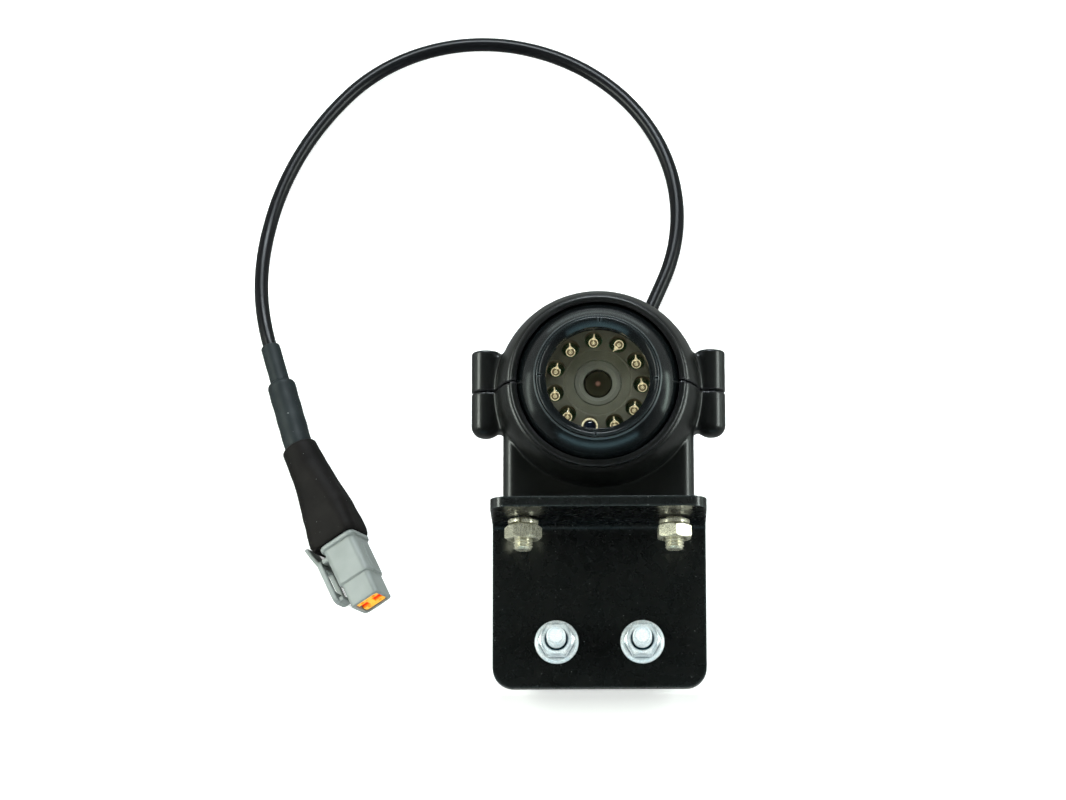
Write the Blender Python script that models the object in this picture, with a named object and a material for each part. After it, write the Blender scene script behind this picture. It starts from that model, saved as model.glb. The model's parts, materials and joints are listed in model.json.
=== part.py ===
"""A rear-view ball camera on an L-bracket, with its cable and four-way plug.

Metres, +Z up. The origin is on the bracket plate's rear face, midway between the two
mounting bolts. +X is to the right as seen from the lens side and the lens looks along -Y.
The ball sits in a two-piece clamp, whose foot stands on the bracket's flange. The cable
leaves the ball's rear, loops up and over in a plane that leans back, and ends in a plug.
"""

import math

import bmesh
import bpy
from mathutils import Matrix, Vector

MM = 0.001
GAP = 0.3 * MM

# How many sides the turned parts get
FINE = 32
ROUND = 16
HARDWARE = 12
SMALL = 8

# Bracket: one bent plate
PLATE_WIDTH = 66.0 * MM
PLATE_THICK = 3.2 * MM
PLATE_BOTTOM = -14.1 * MM
PLATE_CORNER = 6.5 * MM
FLANGE_TOP = 39.9 * MM
FLANGE_REACH = 32.3 * MM
FLANGE_CORNER = 5.2 * MM
BEND_RADIUS = 3.0 * MM
MOUNT_PITCH = 26.4 * MM
BARE_SEAT_RADIUS = 7.3 * MM
BARE_SEAT_DEPTH = 0.15 * MM

# M6 hardware
M6_RADIUS = 2.95 * MM
M6_HOLE = 3.3 * MM
M6_FLATS = 10.0 * MM
FLANGE_BOLT_FLATS = 8.0 * MM
BOLT_LENGTH = 16.0 * MM
WASHER_FACE = 6.8 * MM
NUT_HEIGHT = 4.2 * MM
FLANGE_NUT_HEIGHT = 6.0 * MM
SPRING_WASHER = (3.2 * MM, 4.7 * MM, 1.6 * MM)

# Clamp
BALL_CENTRE = Vector((0, -13.55, 76.35)) * MM
BALL_RADIUS = 29.3 * MM
CLAMP_INNER = 29.8 * MM
CLAMP_OUTER = 31.9 * MM
OPENING_PLANE = 17.2 * MM
HALF_SPLIT = 0.25 * MM
FOOT_WIDTH = 58.8 * MM
FOOT_DEPTH = 13.6 * MM
FOOT_CORNER = 4.0 * MM
STUD_PITCH = 46.5 * MM
STUD_TOP = 53.8 * MM
STUD_TIP = 27.0 * MM
EAR_X = 34.8 * MM
EAR_RADIUS = 4.5 * MM
EAR_TOP = 13.2 * MM
EAR_BOTTOM = -14.0 * MM
WEB_THICK = 6.4 * MM
SCREW_RADIUS = 1.95 * MM
SCREW_HEAD_RADIUS = 3.2 * MM
SCREW_HEAD_SEAT = 9.0 * MM
SCREW_TIP = -9.5 * MM
PAD_RADIUS = 8.0 * MM

# Ball: heights are along the lens axis, from the ball's centre
SHELL_INNER = 26.3 * MM
SEAM_HALF = 0.15 * MM
BEZEL_BORE = 19.0 * MM
BEZEL_CREST = 22.6 * MM
WINDOW_LEDGE = 16.0 * MM
POCKET_RADIUS = 17.5 * MM
POCKET_FLOOR = 7.0 * MM
SHROUD_FACE = 14.6 * MM
SHROUD_RADIUS = 17.2 * MM
SHROUD_STEP = 10.5 * MM
LED_CIRCLE = 13.6 * MM
LED_RADIUS = 2.45 * MM
LED_TIP = 14.4 * MM
LED_PLACES = 11
LED_FIRST_ANGLE = math.radians(259.2)
LED_BOARD_TOP = 9.6 * MM
BOARD_THICK = 1.6 * MM
BARREL_RADIUS = 7.0 * MM
SENSOR_BOARD_TOP = -6.4 * MM
REAR_FACE = -27.88 * MM

# Cable and plug
CABLE_RADIUS = 2.25 * MM
CABLE_EXIT = 39.55 * MM
EXIT_BEND = 8.0 * MM
LOOP_LEAN = math.radians(13.6)
LOOP_START_LEAN = math.radians(21.9)
LOOP_STRAIGHT = 55.6 * MM
LOOP_ARCS = (
    (66.3 * MM, math.radians(100.2)),
    (59.0 * MM, math.radians(60.1)),
)
LOOP_LAST_RADIUS = 103.9 * MM
SLEEVE_LEAN = math.radians(16.0)
PLUG_LEAN = math.radians(24.3)
PLUG_ROLL = math.radians(26.5)
PLUG_LIFT = 6.0 * MM
SLEEVES_LENGTH = 37.9 * MM
BOOT_LEAD = 1.2 * MM
THIN_SLEEVE_END = 17.0 * MM
MIDDLE_SLEEVE_START = 13.8 * MM
CABLE_END = 24.0 * MM
BOOT_END = 35.0 * MM
HOUSING_START = 28.5 * MM
BODY_END = 49.6 * MM
NOSE_END = 57.8 * MM
BODY_SIDE = 11.6 * MM
LIP_SIDE = 13.0 * MM
NOSE_SIDE = 10.0 * MM
NOSE_CAVITY = 8.2 * MM
WAY_OFFSET = 2.1 * MM
CONTACT_RADIUS = 1.0 * MM
SEAL_CAVITY = 10.0 * MM
WIRE_RADIUS = 0.75 * MM
LUG_WIDTH = 7.0 * MM
LUG_THICK = 1.6 * MM
LATCH_PIVOT = Vector((-8.3, 0, 38.4)) * MM

LOOKS = {
    "powder_coat": ((0.012, 0.013, 0.014), 0.35, 0.0),
    "cast_black": ((0.018, 0.019, 0.018), 0.42, 0.0),
    "zinc": ((0.78, 0.82, 0.86), 0.22, 1.0),
    "stainless": ((0.68, 0.64, 0.58), 0.25, 1.0),
    "black_screw": ((0.02, 0.02, 0.02), 0.4, 0.8),
    "rubber": ((0.015, 0.015, 0.015), 0.7, 0.0),
    "window": ((0.85, 0.9, 0.9), 0.03, 0.0),
    "shroud": ((0.03, 0.03, 0.025), 0.75, 0.0),
    "board": ((0.01, 0.08, 0.03), 0.5, 0.0),
    "led": ((0.85, 0.78, 0.6), 0.1, 0.0),
    "dark_lens": ((0.015, 0.015, 0.02), 0.05, 0.0),
    "barrel": ((0.05, 0.05, 0.045), 0.5, 0.0),
    "chip": ((0.02, 0.02, 0.03), 0.2, 0.0),
    "cable": ((0.012, 0.012, 0.014), 0.3, 0.0),
    "slate_sleeve": ((0.045, 0.055, 0.06), 0.6, 0.0),
    "brown_sleeve": ((0.022, 0.019, 0.018), 0.7, 0.0),
    "grey_plastic": ((0.38, 0.41, 0.4), 0.45, 0.0),
    "orange_plastic": ((1.0, 0.4, 0.03), 0.35, 0.0),
    "orange_seal": ((0.8, 0.2, 0.03), 0.6, 0.0),
    "nickel": ((0.75, 0.72, 0.66), 0.25, 1.0),
    "wire_red": ((0.6, 0.02, 0.02), 0.5, 0.0),
    "wire_black": ((0.02, 0.02, 0.02), 0.5, 0.0),
    "wire_white": ((0.8, 0.8, 0.78), 0.5, 0.0),
    "wire_yellow": ((0.8, 0.6, 0.03), 0.5, 0.0),
}


# ---------------------------------------------------------------- scene helpers

def clear_scene():
    for obj in list(bpy.data.objects):
        bpy.data.objects.remove(obj, do_unlink=True)


def material(look):
    found = bpy.data.materials.get(look)
    if found:
        return found
    colour, roughness, metallic = LOOKS[look]
    made = bpy.data.materials.new(look)
    made.use_nodes = True
    shader = made.node_tree.nodes["Principled BSDF"]
    shader.inputs["Base Color"].default_value = (*colour, 1.0)
    shader.inputs["Roughness"].default_value = roughness
    shader.inputs["Metallic"].default_value = metallic
    return made


def empty(name, parent=None, matrix=None):
    obj = bpy.data.objects.new(name, None)
    bpy.context.scene.collection.objects.link(obj)
    obj.parent = parent
    obj.matrix_local = matrix or Matrix()
    obj.empty_display_size = 0.01
    return obj


def place(name, mesh, parent=None, location=(0, 0, 0), rotation=(0, 0, 0)):
    obj = bpy.data.objects.new(name, mesh)
    bpy.context.scene.collection.objects.link(obj)
    obj.parent = parent
    obj.location = location
    obj.rotation_euler = rotation
    return obj


def mesh_of(name, bm, look):
    bmesh.ops.recalc_face_normals(bm, faces=bm.faces)
    mesh = bpy.data.meshes.new(name)
    bm.to_mesh(mesh)
    bm.free()
    mesh.shade_smooth()
    mesh.set_sharp_from_angle(angle=math.radians(35))
    if look:
        mesh.materials.append(material(look))
    return mesh


def add(name, bm, look, parent=None, location=(0, 0, 0), rotation=(0, 0, 0)):
    return place(name, mesh_of(name, bm, look), parent, location, rotation)


def helper(name, bm, parent=None, location=(0, 0, 0), rotation=(0, 0, 0)):
    """A solid that only shapes other solids: the render leaves it out."""
    obj = add(name, bm, None, parent, location, rotation)
    obj.hide_render = True
    obj.display_type = "WIRE"
    return obj


def shape_with(obj, operation, *helpers):
    """Joins (UNION) or cuts (DIFFERENCE) obj with each helper."""
    for other in helpers:
        modifier = obj.modifiers.new(other.name, "BOOLEAN")
        modifier.operation = operation
        modifier.object = other


# ---------------------------------------------------------------- shape helpers

def arc(centre, radius, start, end, steps):
    """Points on an arc, from angle start to angle end in degrees, both ends included."""
    angles = [math.radians(start + (end - start) * k / steps) for k in range(steps + 1)]
    return [
        (centre[0] + radius * math.cos(a), centre[1] + radius * math.sin(a))
        for a in angles
    ]


def dome(radius, first, last, steps):
    """(radius, height) points on a sphere about the origin, between two heights."""
    start = math.degrees(math.asin(first / radius))
    end = math.degrees(math.asin(last / radius))
    return arc((0, 0), radius, start, end, steps)


def sphere_height(radius, distance):
    """How high a sphere about the origin stands at a distance from its axis."""
    return math.sqrt(radius**2 - distance**2)


def rounded_square(width, depth, radius, steps=4, shift=(0, 0)):
    """A rectangle with round corners, counter-clockwise."""
    points = []
    for index, (sx, sy) in enumerate(((1, 1), (-1, 1), (-1, -1), (1, -1))):
        corner = (
            shift[0] + sx * (width / 2 - radius),
            shift[1] + sy * (depth / 2 - radius),
        )
        points += arc(corner, radius, 90 * index, 90 * index + 90, steps)
    return points


def turned(profile, sides):
    """A (radius, height) outline spun about Z. It closes on itself unless it starts on the axis."""
    bm = bmesh.new()
    verts = [bm.verts.new((radius, 0, height)) for radius, height in profile]
    edges = [bm.edges.new(pair) for pair in zip(verts, verts[1:])]
    if profile[0][0] > 1e-9:
        edges.append(bm.edges.new((verts[-1], verts[0])))
    bmesh.ops.spin(
        bm,
        geom=verts + edges,
        cent=(0, 0, 0),
        axis=(0, 0, 1),
        angle=2 * math.pi,
        steps=sides,
        use_merge=True,
    )
    bmesh.ops.remove_doubles(bm, verts=bm.verts, dist=1e-7)
    bmesh.ops.recalc_face_normals(bm, faces=bm.faces)
    return bm


def tube(inner, outer, low, high, sides):
    return turned([(inner, low), (outer, low), (outer, high), (inner, high)], sides)


def disc(radius, low, high, sides):
    return turned([(0, low), (radius, low), (radius, high), (0, high)], sides)


def prism(outline, height):
    """An outline in XY, extruded from Z = 0 to height."""
    bm = bmesh.new()
    face = bm.faces.new([bm.verts.new((x, y, 0)) for x, y in outline])
    extruded = bmesh.ops.extrude_face_region(bm, geom=[face])["geom"]
    top = [v for v in extruded if isinstance(v, bmesh.types.BMVert)]
    bmesh.ops.translate(bm, verts=top, vec=(0, 0, height))
    bmesh.ops.recalc_face_normals(bm, faces=bm.faces)
    return bm


def block(width, depth, height, centre=(0, 0, 0)):
    """A box about a centre point."""
    bm = bmesh.new()
    bmesh.ops.create_cube(bm, size=1)
    bmesh.ops.scale(bm, vec=(width, depth, height), verts=bm.verts)
    bmesh.ops.translate(bm, vec=centre, verts=bm.verts)
    return bm


def skinned(rings, hollow=False):
    """Rings of equally many points, joined one to the next. A hollow skin joins its last
    ring to its first, and any other gets a cap on each end."""
    bm = bmesh.new()
    loops = [[bm.verts.new(point) for point in ring] for ring in rings]
    pairs = list(zip(loops, loops[1:]))
    if hollow:
        pairs.append((loops[-1], loops[0]))
    for lower, upper in pairs:
        for k in range(len(lower)):
            n = (k + 1) % len(lower)
            bm.faces.new((lower[k], lower[n], upper[n], upper[k]))
    if not hollow:
        bm.faces.new(loops[0][::-1])
        bm.faces.new(loops[-1])
    bmesh.ops.recalc_face_normals(bm, faces=bm.faces)
    return bm


def at_height(outline, height):
    return [(x, y, height) for x, y in outline]


def round_ring(radius, height, sides=HARDWARE):
    return at_height(arc((0, 0), radius, 0, 360 - 360 / sides, sides - 1), height)


def hex_ring(flats, height):
    """A hexagon with HARDWARE points, so that it joins on to round rings."""
    points = []
    for k in range(HARDWARE):
        angle = 360 / HARDWARE * k
        from_flat = math.radians((angle + 30) % 60 - 30)
        radius = flats / 2 / math.cos(from_flat)
        points.append(
            (
                radius * math.cos(math.radians(angle)),
                radius * math.sin(math.radians(angle)),
                height,
            )
        )
    return points


def swept(points, radius, sides):
    """A round bar along a line of points, with its rings carried along without twist."""
    rings = []
    previous = (points[1] - points[0]).normalized()
    across = previous.orthogonal().normalized()
    for index, point in enumerate(points):
        ahead = points[min(index + 1, len(points) - 1)]
        behind = points[max(index - 1, 0)]
        tangent = (ahead - behind).normalized()
        across = previous.rotation_difference(tangent) @ across
        other = tangent.cross(across)
        previous = tangent
        turns = [2 * math.pi * k / sides for k in range(sides)]
        rings.append(
            [point + radius * (math.cos(a) * across + math.sin(a) * other) for a in turns]
        )
    return skinned(rings)


def smooth_step(t):
    t = min(max(t, 0.0), 1.0)
    return t * t * (3 - 2 * t)


# ---------------------------------------------------------------- bracket and M6 hardware

def bracket_side_view():
    """The bent plate seen from its end, as (Y, Z), from the rear face over the bend."""
    outer = BEND_RADIUS + PLATE_THICK
    bend = (-outer, FLANGE_TOP - outer)
    return (
        [(0, PLATE_BOTTOM)]
        + arc(bend, outer, 0, 90, 5)
        + [(-FLANGE_REACH, FLANGE_TOP), (-FLANGE_REACH, FLANGE_TOP - PLATE_THICK)]
        + arc(bend, BEND_RADIUS, 90, 0, 5)
        + [(-PLATE_THICK, PLATE_BOTTOM)]
    )


def end_edges(bm, index, value):
    """The edges through the plate's thickness where coordinate index has this value."""
    return [
        e
        for e in bm.edges
        if all(abs(v.co[index] - value) < 1e-6 for v in e.verts)
        and abs(e.verts[0].co.z - e.verts[1].co.z) < 1e-6
    ]


def mount_hole():
    """A bolt hole from the rear face at Z = 0 forward, with the shallow bare seat round it."""
    return turned(
        [
            (0, -1 * MM),
            (BARE_SEAT_RADIUS, -1 * MM),
            (BARE_SEAT_RADIUS, BARE_SEAT_DEPTH),
            (M6_HOLE, BARE_SEAT_DEPTH),
            (M6_HOLE, 2 * PLATE_THICK),
            (0, 2 * PLATE_THICK),
        ],
        ROUND,
    )


def make_bracket():
    bm = prism(bracket_side_view(), PLATE_WIDTH)
    for index, value, radius in (
        (1, PLATE_BOTTOM, PLATE_CORNER),
        (0, -FLANGE_REACH, FLANGE_CORNER),
    ):
        corners = end_edges(bm, index, value)
        bmesh.ops.bevel(bm, geom=corners, offset=radius, segments=5, affect="EDGES", profile=0.5)
    across = (math.pi / 2, 0, math.pi / 2)
    bracket = add("bracket", bm, "powder_coat", location=(-PLATE_WIDTH / 2, 0, 0), rotation=across)
    lying = (math.pi / 2, 0, 0)
    for side in (-1, 1):
        mount_place = (side * MOUNT_PITCH / 2, 0, 0)
        mount_cut = helper(f"mount_hole_{side}", mount_hole(), None, mount_place, lying)
        stud_hole = disc(M6_HOLE, -2 * PLATE_THICK, PLATE_THICK, ROUND)
        stud_place = (side * STUD_PITCH / 2, BALL_CENTRE.y, FLANGE_TOP)
        stud_cut = helper(f"stud_hole_{side}", stud_hole, None, stud_place)
        shape_with(bracket, "DIFFERENCE", mount_cut, stud_cut)


def flange_bolt():
    """A hexagon flange bolt, tip at Z = 0, its flange resting at Z = BOLT_LENGTH."""
    seat = BOLT_LENGTH
    return skinned(
        [
            round_ring(M6_RADIUS - 0.5 * MM, 0),
            round_ring(M6_RADIUS, 0.7 * MM),
            round_ring(M6_RADIUS, seat),
            round_ring(WASHER_FACE, seat),
            round_ring(WASHER_FACE, seat + 0.9 * MM),
            round_ring(FLANGE_BOLT_FLATS * 0.62, seat + 1.9 * MM),
            hex_ring(FLANGE_BOLT_FLATS, seat + 2.2 * MM),
            hex_ring(FLANGE_BOLT_FLATS, seat + 5.9 * MM),
            round_ring(FLANGE_BOLT_FLATS * 0.46, seat + 6.6 * MM),
        ]
    )


def flange_nut():
    """A hexagon flange nut, its flange resting at Z = 0."""
    bore = M6_RADIUS + GAP
    return skinned(
        [
            round_ring(WASHER_FACE, 0),
            round_ring(WASHER_FACE, 0.9 * MM),
            round_ring(M6_FLATS * 0.6, 2.0 * MM),
            hex_ring(M6_FLATS, 2.2 * MM),
            hex_ring(M6_FLATS, FLANGE_NUT_HEIGHT - 0.6 * MM),
            round_ring(M6_FLATS * 0.47, FLANGE_NUT_HEIGHT),
            round_ring(bore, FLANGE_NUT_HEIGHT),
            round_ring(bore, 0),
        ],
        hollow=True,
    )


def hex_nut():
    bore = M6_RADIUS + GAP
    return skinned(
        [
            round_ring(M6_FLATS * 0.47, 0),
            hex_ring(M6_FLATS, 0.6 * MM),
            hex_ring(M6_FLATS, NUT_HEIGHT - 0.6 * MM),
            round_ring(M6_FLATS * 0.47, NUT_HEIGHT),
            round_ring(bore, NUT_HEIGHT),
            round_ring(bore, 0),
        ],
        hollow=True,
    )


def spring_washer():
    """A split ring of rectangular section, standing on Z = 0."""
    inner, outer, height = SPRING_WASHER
    split = 4
    rings = []
    for k in range(ROUND + 1):
        angle = math.radians(split + (360 - 2 * split) * k / ROUND)
        rings.append(
            [
                (r * math.cos(angle), r * math.sin(angle), z)
                for r, z in ((inner, 0), (outer, 0), (outer, height), (inner, height))
            ]
        )
    return skinned(rings)


def threaded_bar(radius, length, chamfer=0.6 * MM):
    return turned(
        [
            (0, 0),
            (radius - chamfer, 0),
            (radius, chamfer),
            (radius, length - chamfer),
            (radius - chamfer, length),
            (0, length),
        ],
        ROUND,
    )


def make_hardware():
    bolt_mesh = mesh_of("flange_bolt", flange_bolt(), "zinc")
    flange_nut_mesh = mesh_of("flange_nut", flange_nut(), "zinc")
    nut_mesh = mesh_of("hex_nut", hex_nut(), "stainless")
    washer_mesh = mesh_of("spring_washer", spring_washer(), "stainless")
    stud_mesh = mesh_of("foot_stud", threaded_bar(M6_RADIUS, STUD_TOP - STUD_TIP), "stainless")
    facing_back = (-math.pi / 2, 0, 0)
    facing_front = (math.pi / 2, math.radians(30), 0)
    washer_z = FLANGE_TOP - PLATE_THICK - GAP - SPRING_WASHER[2]
    nut_z = washer_z - GAP - NUT_HEIGHT
    tip_y = GAP - BOLT_LENGTH
    nut_y = -PLATE_THICK - GAP
    stud_y = BALL_CENTRE.y
    for name, side, nut_turn, split_turn in (
        ("left", -1, math.radians(30), math.radians(-100)),
        ("right", 1, math.radians(5), math.radians(200)),
    ):
        mount_x = side * MOUNT_PITCH / 2
        place(f"mounting_bolt_{name}", bolt_mesh, None, (mount_x, tip_y, 0), facing_back)
        place(f"flange_nut_{name}", flange_nut_mesh, None, (mount_x, nut_y, 0), facing_front)
        stud_x = side * STUD_PITCH / 2
        place(f"foot_stud_{name}", stud_mesh, None, (stud_x, stud_y, STUD_TIP))
        washer = place(f"spring_washer_{name}", washer_mesh, None, (stud_x, stud_y, washer_z))
        washer.rotation_euler.z = split_turn
        nut = place(f"hex_nut_{name}", nut_mesh, None, (stud_x, stud_y, nut_z))
        nut.rotation_euler.z = nut_turn


# ---------------------------------------------------------------- clamp

def clamp_outside():
    """The clamp's outer form as a solid about the lens axis, with a bead round each opening."""
    edge = sphere_height(CLAMP_OUTER, 27.9 * MM)
    bead = [
        (24.9 * MM, OPENING_PLANE),
        (25.2 * MM, OPENING_PLANE + 0.4 * MM),
        (25.8 * MM, OPENING_PLANE + 0.5 * MM),
        (26.6 * MM, OPENING_PLANE + 0.1 * MM),
        (27.0 * MM, OPENING_PLANE - 0.8 * MM),
    ]
    rear_bead = [(radius, -height) for radius, height in reversed(bead)]
    return turned(
        [(0, OPENING_PLANE)]
        + bead
        + dome(CLAMP_OUTER, edge, -edge, 7)
        + rear_bead
        + [(0, -OPENING_PLANE)],
        FINE,
    )


def other_half(side):
    """A block that takes away the half beyond the parting plane, seen from this side."""
    size = 4 * CLAMP_OUTER
    return block(size, size, size, (0, 0, side * (HALF_SPLIT - size / 2)))


def ear_boss(side):
    """One screw boss, from just past the parting plane: flat-topped above, a bullet end below."""
    start = -side * MM
    if side > 0:
        return turned(
            [
                (0, start),
                (EAR_RADIUS, start),
                (EAR_RADIUS, EAR_TOP - 0.7 * MM),
                (EAR_RADIUS - 0.7 * MM, EAR_TOP),
                (0, EAR_TOP),
            ],
            ROUND,
        )
    shoulder = EAR_BOTTOM + 3.6 * MM
    bullet = [
        (EAR_RADIUS * math.cos(math.radians(a)), shoulder - 3.6 * MM * math.sin(math.radians(a)))
        for a in (0, 25, 50, 72)
    ]
    return turned([(0, start), (EAR_RADIUS, start)] + bullet + [(0, EAR_BOTTOM)], ROUND)


def ball_cavity():
    """The space inside the clamp: the ball's seat, open at the front and the rear."""
    reach = OPENING_PLANE + 3 * MM
    lip = sphere_height(CLAMP_INNER, OPENING_PLANE)
    return turned(
        [(0, reach), (lip, reach)]
        + dome(CLAMP_INNER, OPENING_PLANE, -OPENING_PLANE, 7)
        + [(lip, -reach), (0, -reach)],
        FINE,
    )


def pad_recess():
    """Shallow seats for the friction pads, at the top and the bottom of the cavity."""
    radius = PAD_RADIUS + GAP
    outer = CLAMP_OUTER - 1.0 * MM
    cap = dome(outer, -outer, -sphere_height(outer, radius), 2)
    return turned(cap + [(r, -z) for r, z in reversed(cap)], ROUND)


def screw_hole():
    hole = SCREW_RADIUS + GAP
    counterbore = SCREW_HEAD_RADIUS + GAP
    bottom = SCREW_TIP - GAP
    top = EAR_TOP + 1 * MM
    return turned(
        [
            (0, bottom),
            (hole, bottom),
            (hole, SCREW_HEAD_SEAT),
            (counterbore, SCREW_HEAD_SEAT),
            (counterbore, top),
            (0, top),
        ],
        ROUND,
    )


def clamp_screw():
    """A socket cap screw, heights as in the clamp, with its hexagon socket open at the top."""
    seat = SCREW_HEAD_SEAT + GAP
    top = EAR_TOP - 0.5 * MM
    socket = 3.0 * MM
    return skinned(
        [
            round_ring(SCREW_RADIUS - 0.4 * MM, SCREW_TIP),
            round_ring(SCREW_RADIUS, SCREW_TIP + 0.4 * MM),
            round_ring(SCREW_RADIUS, seat),
            round_ring(SCREW_HEAD_RADIUS, seat),
            round_ring(SCREW_HEAD_RADIUS, top - 0.3 * MM),
            round_ring(SCREW_HEAD_RADIUS - 0.3 * MM, top),
            hex_ring(socket, top),
            hex_ring(socket, seat + 1.4 * MM),
        ]
    )


def make_clamp(centre):
    lens_up = (math.pi / 2, 0, 0)
    cavity = helper("ball_cavity", ball_cavity(), centre, rotation=lens_up)
    recess = helper("pad_recess", pad_recess(), centre)
    off_axis = math.radians(5)
    screws = [
        helper(f"screw_hole_{side}", screw_hole(), centre, (side * EAR_X, 0, 0), (0, 0, off_axis))
        for side in (-1, 1)
    ]
    foot_bottom = FLANGE_TOP + GAP - BALL_CENTRE.z
    foot_outline = rounded_square(FOOT_WIDTH, FOOT_DEPTH, FOOT_CORNER)
    foot_top = -2 * MM
    foot = helper(
        "foot", prism(foot_outline, foot_top - foot_bottom), centre, location=(0, 0, foot_bottom)
    )
    stud_depth = STUD_TOP + GAP - FLANGE_TOP
    stud_holes = [
        helper(
            f"foot_hole_{side}",
            disc(M6_RADIUS + GAP, -1 * MM, stud_depth, ROUND),
            centre,
            location=(side * STUD_PITCH / 2, 0, FLANGE_TOP - BALL_CENTRE.z),
        )
        for side in (-1, 1)
    ]
    for name, half in (("upper_clamp", 1), ("base_clamp", -1)):
        clamp = add(name, clamp_outside(), "cast_black", centre, rotation=lens_up)
        web_height = (EAR_TOP if half > 0 else -EAR_BOTTOM) - 1 * MM
        web_z = half * (web_height / 2 - 1.5 * MM)
        for side in (-1, 1):
            boss = helper(
                f"{name}_boss_{side}", ear_boss(half), centre, location=(side * EAR_X, 0, 0)
            )
            web_centre = (side * (EAR_X - 4 * MM), 0, web_z)
            web = helper(
                f"{name}_web_{side}", block(8 * MM, WEB_THICK, web_height, web_centre), centre
            )
            shape_with(clamp, "UNION", boss, web)
        if half < 0:
            shape_with(clamp, "UNION", foot)
        beyond = helper(f"{name}_beyond", other_half(half), centre)
        shape_with(clamp, "DIFFERENCE", cavity, beyond, recess, *screws)
        if half < 0:
            shape_with(clamp, "DIFFERENCE", *stud_holes)
    screw_mesh = mesh_of("clamp_screw", clamp_screw(), "black_screw")
    place("clamp_screw_left", screw_mesh, centre, (-EAR_X, 0, 0))
    place("clamp_screw_right", screw_mesh, centre, (EAR_X, 0, 0))


# ---------------------------------------------------------------- ball camera

def friction_pad():
    """A round pad bent to the ball, centred on the pole above the ball's centre."""
    inner = BALL_RADIUS + GAP
    outer = inner + 1.0 * MM
    below = dome(inner, inner, sphere_height(inner, PAD_RADIUS), 2)
    above = dome(outer, sphere_height(outer, PAD_RADIUS), outer, 2)
    below[0] = (0, inner)
    above[-1] = (0, outer)
    return turned(below + above, ROUND)


def front_shell():
    """The ball's front half, bored for the bezel, with a ledge for the window's gasket."""
    ledge_inner = 16.5 * MM
    ledge_back = WINDOW_LEDGE - 1.1 * MM
    return turned(
        [(SHELL_INNER, SEAM_HALF)]
        + dome(BALL_RADIUS, SEAM_HALF, sphere_height(BALL_RADIUS, BEZEL_BORE), 7)
        + [
            (BEZEL_BORE, WINDOW_LEDGE),
            (ledge_inner, WINDOW_LEDGE),
            (ledge_inner, ledge_back),
            (POCKET_RADIUS, ledge_back),
            (POCKET_RADIUS, POCKET_FLOOR),
        ]
        + dome(SHELL_INNER, POCKET_FLOOR, SEAM_HALF, 2)[:-1],
        FINE,
    )


def rear_shell():
    """The ball's rear half, with a ledge for the sensor board and a hole for the cable."""
    hole = 4.6 * MM
    wall_inside = -24.5 * MM
    board_ledge = SENSOR_BOARD_TOP - BOARD_THICK - GAP
    ledge_inner = 22.5 * MM
    ledge_foot = -sphere_height(SHELL_INNER, ledge_inner)
    groove = (27.0 * MM, 28.6 * MM, -1.3 * MM)
    return turned(
        [
            (BALL_RADIUS, -SEAM_HALF),
            (groove[1], -SEAM_HALF),
            (groove[1], groove[2]),
            (groove[0], groove[2]),
            (groove[0], -SEAM_HALF),
        ]
        + dome(SHELL_INNER, -SEAM_HALF, board_ledge, 2)
        + [(ledge_inner, board_ledge)]
        + dome(SHELL_INNER, ledge_foot, wall_inside, 3)
        + [(hole, wall_inside), (hole, REAR_FACE)]
        + dome(BALL_RADIUS, REAR_FACE, -SEAM_HALF, 7)[:-1],
        FINE,
    )


def shell_seal():
    """A rubber ring in the groove between the two halves of the ball."""
    return turned(arc((27.8 * MM, -0.5 * MM), 0.5 * MM, 0, 288, 4), FINE)


def bezel_ring():
    """The screw-in ring that holds the window: a skirt, a crest and a conical inner face."""
    outer = BEZEL_BORE - GAP
    opening = 15.8 * MM
    under = 19.5 * MM
    crest = BEZEL_CREST
    return turned(
        [
            (17.9 * MM, WINDOW_LEDGE + GAP),
            (outer, WINDOW_LEDGE + GAP),
            (outer, crest - 0.3 * MM),
            (outer - 0.3 * MM, crest),
            (outer - 0.8 * MM, crest - 0.1 * MM),
            (opening + 0.3 * MM, 20.7 * MM),
            (opening, 20.3 * MM),
            (opening, under),
            (17.9 * MM, under),
        ],
        FINE,
    )


def make_bezel(lens_axis):
    bezel = add("bezel_ring", bezel_ring(), "cast_black", lens_axis)
    slot_circle = 17.9 * MM
    for index in range(4):
        angle = math.radians(88 + 90 * index)
        slot = helper(
            f"spanner_slot_{index}",
            block(1.8 * MM, 0.8 * MM, 1.6 * MM),
            lens_axis,
            location=(slot_circle * math.cos(angle), slot_circle * math.sin(angle), BEZEL_CREST),
            rotation=(0, 0, angle),
        )
        shape_with(bezel, "DIFFERENCE", slot)


def led_shroud():
    """The black plate round the lens: a shallow round recess, and a bore for the barrel."""
    bore = BARREL_RADIUS + GAP
    recess = 0.4 * MM
    back = SHROUD_FACE - 3.2 * MM
    return turned(
        [
            (bore, back),
            (SHROUD_RADIUS, back),
            (SHROUD_RADIUS, SHROUD_FACE),
            (SHROUD_STEP, SHROUD_FACE),
            (SHROUD_STEP, SHROUD_FACE - recess),
            (bore, SHROUD_FACE - recess),
        ],
        FINE,
    )


def led_places():
    """The eleven places round the lens, as (angle, x, y)."""
    for index in range(LED_PLACES):
        angle = LED_FIRST_ANGLE + 2 * math.pi * index / LED_PLACES
        yield angle, LED_CIRCLE * math.cos(angle), LED_CIRCLE * math.sin(angle)


def led():
    """A five-millimetre lamp standing on Z = 0."""
    tip = LED_TIP - LED_BOARD_TOP - GAP
    shoulder = tip - 2.2 * MM
    cap = [
        (LED_RADIUS * math.cos(math.radians(a)), shoulder + 2.2 * MM * math.sin(math.radians(a)))
        for a in (0, 30, 60)
    ]
    return turned([(0, 0), (LED_RADIUS, 0)] + cap + [(0, tip)], SMALL)


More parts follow.
